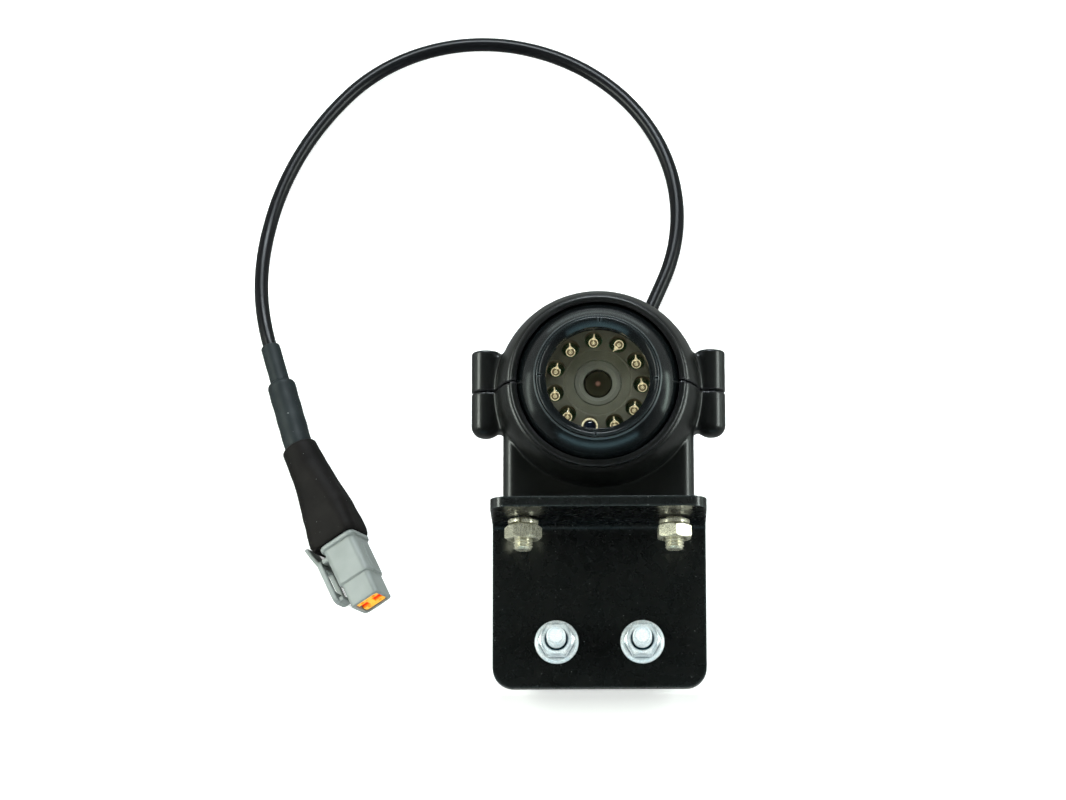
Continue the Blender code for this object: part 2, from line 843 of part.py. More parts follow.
def make_face(lens_axis):
    """The shroud, its ten lamps and the light sensor in the eleventh place."""
    shroud = add("led_shroud", led_shroud(), "shroud", lens_axis)
    lamp_mesh = mesh_of("ir_led", led(), "led")
    sensor_mesh = mesh_of("photocell", led(), "dark_lens")
    pocket_radius = LED_RADIUS + GAP
    for index, (angle, x, y) in enumerate(led_places()):
        pocket = disc(pocket_radius, LED_BOARD_TOP, SHROUD_FACE + 2 * MM, HARDWARE)
        shape_with(shroud, "DIFFERENCE", helper(f"pocket_{index}", pocket, lens_axis, (x, y, 0)))
        name, mesh = (f"ir_led_{index:02d}", lamp_mesh) if index else ("photocell", sensor_mesh)
        place(name, mesh, lens_axis, (x, y, LED_BOARD_TOP + GAP), (0, 0, angle))


def lens_barrel():
    glass_seat = 4.4 * MM
    return turned(
        [
            (3.4 * MM, -2.5 * MM),
            (BARREL_RADIUS - 0.4 * MM, -2.5 * MM),
            (BARREL_RADIUS, -2.1 * MM),
            (BARREL_RADIUS, SHROUD_FACE - 0.5 * MM),
            (BARREL_RADIUS - 0.3 * MM, SHROUD_FACE - 0.2 * MM),
            (5.7 * MM, SHROUD_FACE - 0.2 * MM),
            (glass_seat, 13.0 * MM),
            (glass_seat, 10.9 * MM),
            (3.4 * MM, 10.9 * MM),
        ],
        ROUND,
    )


def lens_glass():
    return turned(
        [
            (0, 11.2 * MM),
            (4.1 * MM, 11.2 * MM),
            (4.1 * MM, 12.4 * MM),
            (2.9 * MM, 13.0 * MM),
            (1.5 * MM, 13.35 * MM),
            (0, 13.5 * MM),
        ],
        ROUND,
    )


def cable_gland():
    """A rubber bush: a lip inside the ball, a neck through its wall and a nose outside."""
    bore = CABLE_RADIUS + GAP
    return turned(
        [
            (bore, -22.8 * MM),
            (6.2 * MM, -22.8 * MM),
            (6.2 * MM, -24.2 * MM),
            (4.3 * MM, -24.2 * MM),
            (4.3 * MM, REAR_FACE - GAP),
            (6.8 * MM, REAR_FACE - GAP),
            (6.8 * MM, -30.2 * MM),
            (5.0 * MM, -31.6 * MM),
            (3.9 * MM, -32.8 * MM),
            (bore, -32.8 * MM),
        ],
        ROUND,
    )


def make_pads(pan_axis):
    mesh = mesh_of("friction_pad", friction_pad(), "rubber")
    place("upper_friction_pad", mesh, pan_axis)
    place("lower_friction_pad", mesh, pan_axis, rotation=(math.pi, 0, 0))


def make_ball(lens_axis):
    add("front_shell", front_shell(), "cast_black", lens_axis)
    add("rear_shell", rear_shell(), "cast_black", lens_axis)
    add("shell_seal", shell_seal(), "rubber", lens_axis)
    make_bezel(lens_axis)
    gasket = tube(16.7 * MM, 17.5 * MM, WINDOW_LEDGE + 0.2 * MM, 16.9 * MM, FINE)
    add("window_seal", gasket, "rubber", lens_axis)
    add("window_glass", disc(17.5 * MM, 17.2 * MM, 19.2 * MM, FINE), "window", lens_axis)
    make_face(lens_axis)
    board_low = LED_BOARD_TOP - BOARD_THICK
    add("led_board", tube(7.4 * MM, 17.0 * MM, board_low, LED_BOARD_TOP, ROUND), "board", lens_axis)
    add("lens_barrel", lens_barrel(), "barrel", lens_axis)
    add("lens_glass", lens_glass(), "dark_lens", lens_axis)
    on_board = SENSOR_BOARD_TOP + GAP
    holder_inner = BARREL_RADIUS + GAP
    add("lens_holder", tube(holder_inner, 8.8 * MM, on_board, 5.5 * MM, ROUND), "barrel", lens_axis)
    chip = block(7 * MM, 5.6 * MM, 1.2 * MM, (0, 0, on_board + 0.6 * MM))
    add("image_sensor", chip, "chip", lens_axis)
    sensor_board = disc(23.6 * MM, SENSOR_BOARD_TOP - BOARD_THICK, SENSOR_BOARD_TOP, ROUND)
    add("sensor_board", sensor_board, "board", lens_axis)
    add("cable_gland", cable_gland(), "rubber", lens_axis)
    add("cable_tail", disc(CABLE_RADIUS, -28.6 * MM, -14.0 * MM, SMALL), "cable", lens_axis)


# ---------------------------------------------------------------- cable

def rounded_bend(corner, incoming, outgoing, radius, steps):
    """Points of an arc that turns from one direction to another, tangent to both."""
    turn = incoming.angle(outgoing)
    start = corner - incoming * radius * math.tan(turn / 2)
    inward = (outgoing - incoming * incoming.dot(outgoing)).normalized()
    centre = start + inward * radius
    angles = [turn * k / steps for k in range(steps + 1)]
    return [centre + radius * (math.sin(a) * incoming - math.cos(a) * inward) for a in angles]


def heading(lean_from_up):
    """The direction in the loop's plane that leans right of straight up by this angle."""
    return Vector((math.sin(lean_from_up), math.cos(lean_from_up), 0))


def loop_points():
    """The cable's centre line in the loop's plane: out of the gland, round a tight bend, along
    a straight run, over three arcs that meet smoothly, and straight on inside the sleeves."""
    exit_direction = Vector((0, math.sin(LOOP_LEAN), -math.cos(LOOP_LEAN)))
    bend = rounded_bend(Vector(), exit_direction, heading(LOOP_START_LEAN), EXIT_BEND, 6)
    inside_gland = -exit_direction * (CABLE_EXIT - 28.9 * MM)
    points = [inside_gland] + bend
    position = heading(LOOP_START_LEAN) * LOOP_STRAIGHT
    points.append(position)
    lean = LOOP_START_LEAN
    last_turn = math.pi + LOOP_START_LEAN + SLEEVE_LEAN - sum(turn for _, turn in LOOP_ARCS)
    for index, (radius, turn) in enumerate((*LOOP_ARCS, (LOOP_LAST_RADIUS, last_turn))):
        centre = position + radius * heading(lean - math.pi / 2)
        steps = math.ceil(turn / math.radians(6))
        for k in range(1, steps + 1):
            here = lean - turn * k / steps
            position = centre - radius * heading(here - math.pi / 2)
            if index == len(LOOP_ARCS):
                position = position + Vector((0, 0, PLUG_LIFT * smooth_step(2 * k / steps - 1)))
            points.append(position)
        lean -= turn
    return points


def make_cable(loop_plane):
    points = loop_points()
    sleeve_start = points[-1].copy()
    along = heading(math.pi - SLEEVE_LEAN)
    points.append(sleeve_start + along * 2 * MM)
    points.append(sleeve_start + along * CABLE_END)
    add("cable_loop", swept(points, CABLE_RADIUS, 10), "cable", loop_plane)
    return sleeve_start


# ---------------------------------------------------------------- plug

def plug_matrix(origin, lean, roll):
    """A frame in the loop's plane: Z runs along the plug towards its tip, Y faces the viewer."""
    along = heading(math.pi - lean)
    facing = Vector((0, 0, 1))
    across = facing.cross(along)
    turn = Matrix((across, facing, along)).transposed().to_4x4()
    return Matrix.Translation(origin) @ turn @ Matrix.Rotation(roll, 4, "Z")


def sleeve(inner, outer, low, high, shoulder):
    """A shrunk sleeve along Z, with a rounded shoulder at its lower end."""
    return turned(
        [
            (inner, low),
            (outer - shoulder, low),
            (outer - 0.3 * shoulder, low + 0.35 * shoulder),
            (outer, low + shoulder),
            (outer, high),
            (inner, high),
        ],
        ROUND,
    )


def shrink_boot():
    """The wide sleeve: round where it grips the middle sleeve, squared over the plug's rear."""
    def square(width, depth, radius, height, shift=0.0):
        return at_height(rounded_square(width, depth, radius, 4, (shift, 0)), height)

    bore = 10.0 * MM
    grip = 11.4 * MM
    cavity = BODY_SIDE + 2 * GAP
    return skinned(
        [
            square(grip - 0.8 * MM, grip - 0.8 * MM, grip / 2 - 0.41 * MM, -BOOT_LEAD),
            square(grip, grip, grip / 2 - 0.01 * MM, 0.6 * MM - BOOT_LEAD),
            square(12.6 * MM, 11.8 * MM, 5.4 * MM, 10 * MM),
            square(14.6 * MM, 13.0 * MM, 4.6 * MM, 20 * MM),
            square(16.4 * MM, 14.0 * MM, 4.0 * MM, 29 * MM, -0.7 * MM),
            square(16.8 * MM, 14.2 * MM, 4.0 * MM, 33.5 * MM, -1.0 * MM),
            square(15.8 * MM, 13.6 * MM, 3.8 * MM, BOOT_END, -0.8 * MM),
            square(cavity, cavity, 2.3 * MM, BOOT_END),
            square(cavity, cavity, 2.3 * MM, HOUSING_START - 2 * MM),
            square(bore, bore, bore / 2 - 0.01 * MM, 15 * MM),
            square(bore, bore, bore / 2 - 0.01 * MM, -BOOT_LEAD),
        ],
        hollow=True,
    )


def housing_body():
    """The plug's grey shell: rear spigot, lip, body, nose, and a square cavity in each end."""
    def square(side, radius, height):
        return at_height(rounded_square(side, side, radius), height)

    lip = BOOT_END + GAP
    return skinned(
        [
            square(BODY_SIDE, 2.0 * MM, HOUSING_START),
            square(BODY_SIDE, 2.0 * MM, lip),
            square(LIP_SIDE, 2.4 * MM, lip),
            square(LIP_SIDE, 2.4 * MM, lip + 1.4 * MM),
            square(BODY_SIDE, 2.0 * MM, lip + 1.9 * MM),
            square(BODY_SIDE, 2.0 * MM, BODY_END),
            square(NOSE_SIDE, 1.6 * MM, BODY_END + 0.6 * MM),
            square(NOSE_SIDE, 1.6 * MM, NOSE_END - 0.4 * MM),
            square(NOSE_SIDE - 0.7 * MM, 1.4 * MM, NOSE_END),
            square(NOSE_CAVITY, 1.0 * MM, NOSE_END),
            square(NOSE_CAVITY, 1.0 * MM, 47.2 * MM),
        ]
    )


def way_positions():
    """The four contact ways, as seen from the plug's tip."""
    return [(sx * WAY_OFFSET, sy * WAY_OFFSET) for sy in (1, -1) for sx in (-1, 1)]


def make_housing(plug_axis):
    housing = add("connector_housing", housing_body(), "grey_plastic", plug_axis)
    lug_root = 5.6 * MM
    lug_reach = -LATCH_PIVOT.x - GAP - lug_root
    lug_centre = (-lug_root - lug_reach / 2, 0, LATCH_PIVOT.z)
    lug = block(lug_reach, LUG_WIDTH, LUG_THICK, lug_centre)
    shape_with(housing, "UNION", helper("latch_lug", lug, plug_axis))
    seal_cavity = block(SEAL_CAVITY, SEAL_CAVITY, SEAL_CAVITY, (0, 0, HOUSING_START))
    shape_with(housing, "DIFFERENCE", helper("seal_cavity", seal_cavity, plug_axis))
    for index, (x, y) in enumerate(way_positions()):
        bore = disc(CONTACT_RADIUS + GAP, 30 * MM, 48.5 * MM, SMALL)
        shape_with(housing, "DIFFERENCE", helper(f"way_{index}", bore, plug_axis, (x, y, 0)))


def make_rear_seal(plug_axis):
    side = SEAL_CAVITY - 2 * GAP
    body = block(side, side, 4 * MM, (0, 0, 31.2 * MM))
    seal = add("rear_wire_seal", body, "orange_seal", plug_axis)
    for index, (x, y) in enumerate(way_positions()):
        hole = disc(WIRE_RADIUS + GAP, 28 * MM, 35 * MM, SMALL)
        shape_with(seal, "DIFFERENCE", helper(f"seal_hole_{index}", hole, plug_axis, (x, y, 0)))


def make_contacts(plug_axis):
    """Four socket contacts, each hollow at its front."""
    bore = CONTACT_RADIUS - 0.45 * MM
    contact = turned(
        [
            (0, 34.4 * MM),
            (CONTACT_RADIUS, 34.4 * MM),
            (CONTACT_RADIUS, 55.0 * MM),
            (bore, 55.0 * MM),
            (bore, 48.0 * MM),
            (0, 48.0 * MM),
        ],
        SMALL,
    )
    mesh = mesh_of("contact", contact, "nickel")
    for index, (x, y) in enumerate(way_positions()):
        place(f"contact_{index + 1}", mesh, plug_axis, (x, y, 0))


def make_wires(plug_axis, sleeves_axis):
    """Four insulated cores, from the end of the jacket to the contacts."""
    bunch = 0.95 * MM
    to_plug = plug_axis.matrix_local.inverted() @ sleeves_axis.matrix_local
    start = to_plug @ Vector((0, 0, CABLE_END + GAP))
    end = 34.1 * MM
    steps = 7
    looks = ("wire_red", "wire_black", "wire_white", "wire_yellow")
    for index, ((x, y), look) in enumerate(zip(way_positions(), looks)):
        points = []
        for k in range(steps + 1):
            straighten = smooth_step(1.6 * k / steps)
            spread = smooth_step(1.25 * k / steps)
            height = start.z + (29 * MM - start.z) * k / steps
            reach = bunch + (WAY_OFFSET - bunch) * spread
            points.append(
                Vector(
                    (
                        start.x * (1 - straighten) + reach * x / WAY_OFFSET,
                        start.y * (1 - straighten) + reach * y / WAY_OFFSET,
                        height,
                    )
                )
            )
        points.append(Vector((x, y, end)))
        add(f"wire_{index + 1}", swept(points, WIRE_RADIUS, 6), look, plug_axis)


def make_wedge(wedge_axis):
    """The wedge lock: a plate with two side notches and four contact holes, and a tongue
    between the contact rows."""
    face = NOSE_END - 0.4 * MM
    plate_thick = 2.0 * MM
    side = NOSE_CAVITY - 2 * GAP
    plate = prism(rounded_square(side, side, 0.9 * MM, 3), plate_thick)
    wedge = add("wedge_lock", plate, "orange_plastic", wedge_axis, (0, 0, face - plate_thick))
    tongue_length = 7.4 * MM
    tongue_centre = (0, 0, face - plate_thick - tongue_length / 2 + 0.3 * MM)
    tongue = block(7.0 * MM, 1.4 * MM, tongue_length, tongue_centre)
    shape_with(wedge, "UNION", helper("wedge_tongue", tongue, wedge_axis))
    for x_side in (-1, 1):
        notch = block(3.2 * MM, 2.4 * MM, 2 * MM, (x_side * 2.6 * MM, 0, face))
        shape_with(wedge, "DIFFERENCE", helper(f"notch_{x_side}", notch, wedge_axis))
    spread = 1.12
    for index, (x, y) in enumerate(way_positions()):
        hole = disc(0.6 * MM, face - 3 * MM, face + 1 * MM, SMALL)
        hole_cut = helper(f"wedge_hole_{index}", hole, wedge_axis, (x, y * spread, 0))
        shape_with(wedge, "DIFFERENCE", hole_cut)


def make_latch(latch_axis):
    """The side lever: a loop ahead of the pivot that hooks the mating half, and a thumb pad
    behind it. Heights are from the pivot."""
    thick = 1.4 * MM
    half_width = 3.9 * MM
    frame_low = -1.2 * MM
    frame_high = 14.6 * MM
    outer = rounded_square(frame_high - frame_low, 2 * half_width, 2.2 * MM)
    middle = (frame_high + frame_low) / 2
    standing = (0, -math.pi / 2, 0)
    loop = add(
        "connector_latch",
        prism(outer, thick),
        "grey_plastic",
        latch_axis,
        (-GAP / 2, 0, middle),
        standing,
    )
    window = block(8.4 * MM, 4.6 * MM, 10 * MM, (1.0 * MM, 0, 0))
    window_cut = helper("latch_window", window, latch_axis, (0, 0, middle), standing)
    hook = block(2.6 * MM, 5.6 * MM, 1.6 * MM, (0.6 * MM - GAP, 0, frame_high - 0.9 * MM))
    pad = skinned(
        [
            at_height(rounded_square(1.4 * MM, 6.6 * MM, 0.5 * MM, 2, (-3.0 * MM, 0)), -7.0 * MM),
            at_height(rounded_square(1.5 * MM, 7.4 * MM, 0.5 * MM, 2, (-2.65 * MM, 0)), -5.0 * MM),
            at_height(rounded_square(1.4 * MM, 7.0 * MM, 0.5 * MM, 2, (-1.0 * MM, 0)), 0.6 * MM),
        ]
    )
    shape_with(loop, "DIFFERENCE", window_cut)
    shape_with(
        loop,
        "UNION",
        helper("latch_hook", hook, latch_axis),
        helper("latch_pad", pad, latch_axis),
    )


def make_plug(loop_plane, sleeve_start):
    sleeves_axis = empty(
        "sleeves_axis", loop_plane, plug_matrix(sleeve_start, SLEEVE_LEAN, PLUG_ROLL)
    )
    boot_mouth = sleeve_start + heading(math.pi - SLEEVE_LEAN) * SLEEVES_LENGTH
    plug_start = boot_mouth + heading(math.pi - PLUG_LEAN) * BOOT_LEAD
    plug_axis = empty("plug_axis", loop_plane, plug_matrix(plug_start, PLUG_LEAN, PLUG_ROLL))
    wedge_axis = empty("wedge_axis", plug_axis)
    latch_axis = empty("latch_axis", plug_axis, Matrix.Translation(LATCH_PIVOT))
    thin_inner = CABLE_RADIUS + GAP
    add(
        "thin_sleeve",
        sleeve(thin_inner, 3.1 * MM, 0, THIN_SLEEVE_END, 0.4 * MM),
        "slate_sleeve",
        sleeves_axis,
    )
    middle = sleeve(3.4 * MM, 4.55 * MM, MIDDLE_SLEEVE_START, SLEEVES_LENGTH + 1.5 * MM, 1.1 * MM)
    add("middle_sleeve", middle, "slate_sleeve", sleeves_axis)
    add("shrink_boot", shrink_boot(), "brown_sleeve", plug_axis)
    make_housing(plug_axis)
    make_rear_seal(plug_axis)
    make_contacts(plug_axis)
    make_wires(plug_axis, sleeves_axis)
    make_wedge(wedge_axis)
    make_latch(latch_axis)


# ---------------------------------------------------------------- assembly

def main():
    clear_scene()
    make_bracket()
    make_hardware()
    centre = empty("ball_centre", matrix=Matrix.Translation(BALL_CENTRE))
    make_clamp(centre)
    pan_axis = empty("pan_axis", centre)
    make_pads(pan_axis)
    lens_axis = empty("lens_axis", pan_axis, Matrix.Rotation(math.pi / 2, 4, "X"))
    make_ball(lens_axis)
    loop_origin = Matrix.Translation((0, CABLE_EXIT, 0))
    leaning = Matrix.Rotation(math.pi / 2 - LOOP_LEAN, 4, "X")
    loop_plane = empty("loop_plane", pan_axis, loop_origin @ leaning)
    sleeve_start = make_cable(loop_plane)
    make_plug(loop_plane, sleeve_start)


main()
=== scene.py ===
import json
import math

import bmesh
import bpy
import numpy as np
from mathutils import Matrix, Vector

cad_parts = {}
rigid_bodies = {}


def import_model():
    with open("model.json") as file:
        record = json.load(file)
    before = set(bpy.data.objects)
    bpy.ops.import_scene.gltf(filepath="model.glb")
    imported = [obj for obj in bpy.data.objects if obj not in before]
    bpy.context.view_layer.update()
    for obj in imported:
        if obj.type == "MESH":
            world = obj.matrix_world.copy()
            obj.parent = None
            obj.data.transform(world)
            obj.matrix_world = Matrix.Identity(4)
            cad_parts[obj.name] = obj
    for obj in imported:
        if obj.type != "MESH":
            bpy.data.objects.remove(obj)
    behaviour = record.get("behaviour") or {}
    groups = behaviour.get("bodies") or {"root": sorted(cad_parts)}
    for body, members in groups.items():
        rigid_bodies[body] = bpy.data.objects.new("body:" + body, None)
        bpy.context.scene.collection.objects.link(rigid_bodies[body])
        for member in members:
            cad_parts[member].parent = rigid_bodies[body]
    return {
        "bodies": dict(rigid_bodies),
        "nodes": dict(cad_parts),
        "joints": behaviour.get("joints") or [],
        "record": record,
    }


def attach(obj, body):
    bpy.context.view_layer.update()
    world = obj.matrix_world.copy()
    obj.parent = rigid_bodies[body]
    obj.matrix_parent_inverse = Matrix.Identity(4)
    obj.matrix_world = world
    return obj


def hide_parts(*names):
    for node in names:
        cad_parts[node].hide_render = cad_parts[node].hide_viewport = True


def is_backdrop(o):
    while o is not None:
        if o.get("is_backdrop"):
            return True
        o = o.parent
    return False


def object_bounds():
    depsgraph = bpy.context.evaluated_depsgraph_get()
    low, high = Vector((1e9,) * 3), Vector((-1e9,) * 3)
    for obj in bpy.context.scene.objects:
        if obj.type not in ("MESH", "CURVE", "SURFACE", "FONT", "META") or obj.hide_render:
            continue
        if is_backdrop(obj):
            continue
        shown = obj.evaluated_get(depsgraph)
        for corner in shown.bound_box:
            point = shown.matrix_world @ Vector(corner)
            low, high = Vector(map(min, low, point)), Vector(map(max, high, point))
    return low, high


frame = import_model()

# Lengths in this file are millimetres in a piece's own frame. Each piece is put in the row
# frame, in metres, by the matrix it is made with.
MM = 0.001
cad_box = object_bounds()
joints = {joint["name"]: joint for joint in frame["joints"]}

# ---- frames

BALL = Vector(joints["camera_pan"]["pos_m"])
GLAND_END = Vector(joints["cable_swing"]["pos_m"])
LOOP_LEAN = math.radians(13.6)
SLEEVE_LEAN = math.radians(16.0)
PLUG_LEAN = math.radians(24.3)
PLUG_ROLL = math.radians(26.5)
SLEEVES_LENGTH, BOOT_LEAD = 37.9, 1.2
CABLE_EXIT, CABLE_RADIUS = 39.55, 2.25
GAP = 0.3

ROW = Matrix.Scale(MM, 4)
QUARTER = Matrix.Rotation(math.pi / 2, 4, "X")
AT_BALL = Matrix.Translation(BALL) @ ROW
LENS = Matrix.Translation(BALL) @ QUARTER @ ROW
LOOP = Matrix.Translation(GLAND_END) @ Matrix.Rotation(math.pi / 2 - LOOP_LEAN, 4, "X") @ ROW


def spot(x, y, z, turn=0.0):
    """A place in a piece's own frame, with a turn about Z in degrees."""
    return Matrix.Translation((x, y, z)) @ Matrix.Rotation(math.radians(turn), 4, "Z")


def heading(lean):
    """The direction in the loop's plane that leans right of straight up by this angle."""
    return Vector((math.sin(lean), math.cos(lean), 0))


def plug_frame(origin, lean):
    """A frame in the loop's plane: Z runs along the plug to its tip, Y faces the viewer."""
    along = heading(math.pi - lean)
    facing = Vector((0, 0, 1))
    turn = Matrix((facing.cross(along), facing, along)).transposed().to_4x4()
    return Matrix.Translation(origin) @ turn @ Matrix.Rotation(PLUG_ROLL, 4, "Z")


# ---- materials

LOOKS = {}
SLOT_OF = {"ball_black": "cast_black", "gold": "nickel", "led_clear": "led", "cell_blue": "dark_lens"}
WHITE = (1, 1, 1)


class Nodes:
    """A node tree with helpers that add nodes and give back sockets."""

    def __init__(self, tree):
        self.tree = tree

    def feed(self, node, inputs):
        """Links or sets a node's inputs, given by name or number."""
        for key, value in inputs.items():
            socket = node.inputs[key]
            if hasattr(value, "is_output"):
                self.tree.links.new(value, socket)
            else:
                socket.default_value = (*value, 1) if socket.type == "RGBA" else value

    def node(self, kind, inputs=None, give=0, **settings):
        """Adds a shader node and gives back one of its outputs."""
        made = self.tree.nodes.new("ShaderNode" + kind)
        for key, value in settings.items():
            setattr(made, key, value)
        self.feed(made, inputs or {})
        return made.outputs[give]

    def ranged(self, value, low, high, from_low=0.3, from_high=0.7):
        ends = {"From Min": from_low, "From Max": from_high, "To Min": low, "To Max": high}
        return self.node("MapRange", {"Value": value, **ends})

    def mix(self, factor, first, second):
        """A mix of two colours."""
        return self.node("Mix", {0: factor, 6: first, 7: second}, 2, data_type="RGBA")

    def blend(self, factor, first, second):
        """A mix of two shaders."""
        return self.node("MixShader", {0: factor, 1: first, 2: second})

    def math(self, operation, first, second):
        return self.node("Math", {0: first, 1: second}, operation=operation)

    def vector(self, operation, first, second=(0, 0, 0), give="Vector"):
        return self.node("VectorMath", {0: first, 1: second}, give, operation=operation)


class Look(Nodes):
    """A material with a Principled shader."""

    def __init__(self, name):
        LOOKS[name] = bpy.data.materials.new(name)
        LOOKS[name].use_nodes = True
        super().__init__(LOOKS[name].node_tree)
        self.shader = self.tree.nodes["Principled BSDF"]
        self.place = self.node("TexCoord", give="Object")

    def set(self, **inputs):
        self.feed(self.shader, {key.replace("_", " "): value for key, value in inputs.items()})

    def surface(self, shader):
        """Shows this shader in place of the Principled one."""
        self.feed(self.tree.nodes["Material Output"], {"Surface": shader})

    def noise(self, size, detail=3.0):
        """A 0 to 1 pattern whose features are about this many millimetres across."""
        inputs = {"Vector": self.place, "Scale": 1 / (size * MM), "Detail": detail}
        return self.node("TexNoise", inputs)

    def paint_edge_light_and_shade(self, tone, edge, sides, reach):
        """Paints the edge colour over sharp corners as painted light and shade: True for those that
        stick out, False for creases.
        """
        shares = []
        for inside in sides:
            open_share = self.node(
                "AmbientOcclusion", {"Distance": reach * MM}, "AO",
                inside=inside, samples=6, only_local=inside,
            )
            ends = (0.58, 0.93) if inside else (0.60, 0.96)
            shares.append(self.ranged(open_share, 0, 1, *ends))
        share = self.math("MULTIPLY", *shares) if len(shares) > 1 else shares[0]
        return self.mix(share, edge, tone)

    def bump(self, height, depth):
        """Depth is the pattern's real height in millimetres."""
        inputs = {"Height": height, "Strength": 1.0, "Distance": depth * MM}
        self.set(Normal=self.node("Bump", inputs))


def painted(
    name, dark, light, rough, grain, depth, coat=0.0, specks=0.0, metal=0.0, shine=0.5, edge=None
):
    """A coated or moulded surface: slow colour drift, fine grain, uneven gloss, stray dust and, if an
    edge colour is given, a painted highlight along corners that stick out.
    """
    look = Look(name)
    colour = look.mix(look.ranged(look.noise(9.0), 0, 1), dark, light)
    # Painted highlight: the edge colour is laid along corners that stick out.
    if edge:
        colour = look.paint_edge_light_and_shade(colour, edge, (True,), 0.8)
    if specks:
        rare = 0.80 - 0.04 * specks
        dust = look.ranged(look.noise(0.55, 1.0), 0, 1, rare, rare + 0.03)
        colour = look.mix(dust, colour, (0.30, 0.31, 0.30))
    smear = look.ranged(look.noise(3.5), rough - 0.02, rough + 0.03)
    look.set(Base_Color=colour, Roughness=smear, Metallic=metal, Specular_IOR_Level=shine)
    look.set(Coat_Weight=coat, Coat_Roughness=0.12)
    look.bump(look.noise(grain, 4.0), depth)


def metal(name, colour, dull, rough, share=1.0, edge=None):
    """Plated or bare steel with fine marks. The share below 1 is a dull, scattering skin. An edge
    colour, if given, is painted shade in creases and a painted dark reflection along corners that
    stick out.
    """
    look = Look(name)
    marks = look.noise(0.25)
    tone = look.mix(look.ranged(look.noise(1.6), 0, 1), colour, dull)
    # Painted shade in creases and a painted dark reflection along corners that stick out.
    if edge:
        tone = look.paint_edge_light_and_shade(tone, edge, (False, True), 0.9)
    look.set(Base_Color=tone, Metallic=share, Roughness=look.ranged(marks, rough, rough + 0.14))
    look.bump(marks, 0.012)


def clear(name, tint, bending, body=0.0):
    """A clear skin: light goes straight through, apart from the mirror share at its surface
    and the share its faintly hazy body scatters."""
    look = Look(name)
    straight = look.node("BsdfTransparent", {"Color": tint})
    haze = look.node("BsdfDiffuse", {"Color": (0.16, 0.15, 0.10)})
    smudge = look.ranged(look.noise(4.0), 0.02, 0.07)
    shine = look.node("BsdfGlossy", {"Color": WHITE, "Roughness": smudge})
    mirror_share = look.node("Fresnel", {"IOR": bending})
    look.surface(look.blend(mirror_share, look.blend(body, straight, haze), shine))


def gold_with_painted_shade_and_glow(name):
    """Gold plating with painted shade in its hollows and a painted glow, though it is no lamp. The
    mesh says where, in its tone attribute.
    """
    look = Look(name)
    tone = look.node("Attribute", give="Fac", attribute_name="tone")
    bright = look.math("MULTIPLY", tone, look.ranged(look.noise(0.5), 0.55, 1.0))
    # Painted shade: where the tone is low, the plating is dark brown.
    colour = look.mix(bright, (0.10, 0.07, 0.03), (1.0, 0.91, 0.62))
    look.set(Base_Color=colour, Metallic=0.25, Roughness=0.25)
    # Painted glow: the plating gives off light, though it is no lamp.
    look.set(Emission_Color=colour, Emission_Strength=look.math("MULTIPLY", bright, 0.95))


def orange_with_painted_shade_and_glow(name):
    """Glossy orange with painted shade: it deepens to red in the recesses. The mesh's tone says how
    deep.
    """
    look = Look(name)
    tone = look.node("Attribute", give="Fac", attribute_name="tone")
    # Painted shade: deeper red in the recesses.
    colour = look.mix(tone, (0.95, 0.05, 0.004), (1.0, 0.44, 0.03))
    look.set(Base_Color=colour, Roughness=look.ranged(look.noise(0.8), 0.25, 0.4))
    # Painted glow: the moulding gives off a little light, though it is no lamp.
    look.set(Emission_Color=colour, Emission_Strength=0.12)
    look.bump(look.noise(0.5), 0.01)


def glass_with_painted_reflection(name):
    """The front element: brown-black with a small pink painted reflection on the lens axis."""
    look = Look(name)
    across = look.vector("MULTIPLY", look.vector("SUBTRACT", look.place, BALL), (1, 0, 1))
    away = look.vector("LENGTH", across, give="Value")
    painted_reflection_share = look.ranged(away, 1, 0, 0.35 * MM, 1.0 * MM)
    rim_share = look.ranged(away, 0, 1, 1.2 * MM, 3.6 * MM)
    glass = look.mix(rim_share, (0.014, 0.012, 0.006), (0.026, 0.024, 0.014))
    # Painted reflection: a pink spot on the lens axis.
    colour = look.mix(painted_reflection_share, glass, (0.17, 0.085, 0.065))
    haze = look.ranged(look.noise(1.2), 0.16, 0.22)
    look.set(Base_Color=colour, Roughness=haze, Specular_IOR_Level=0.12)


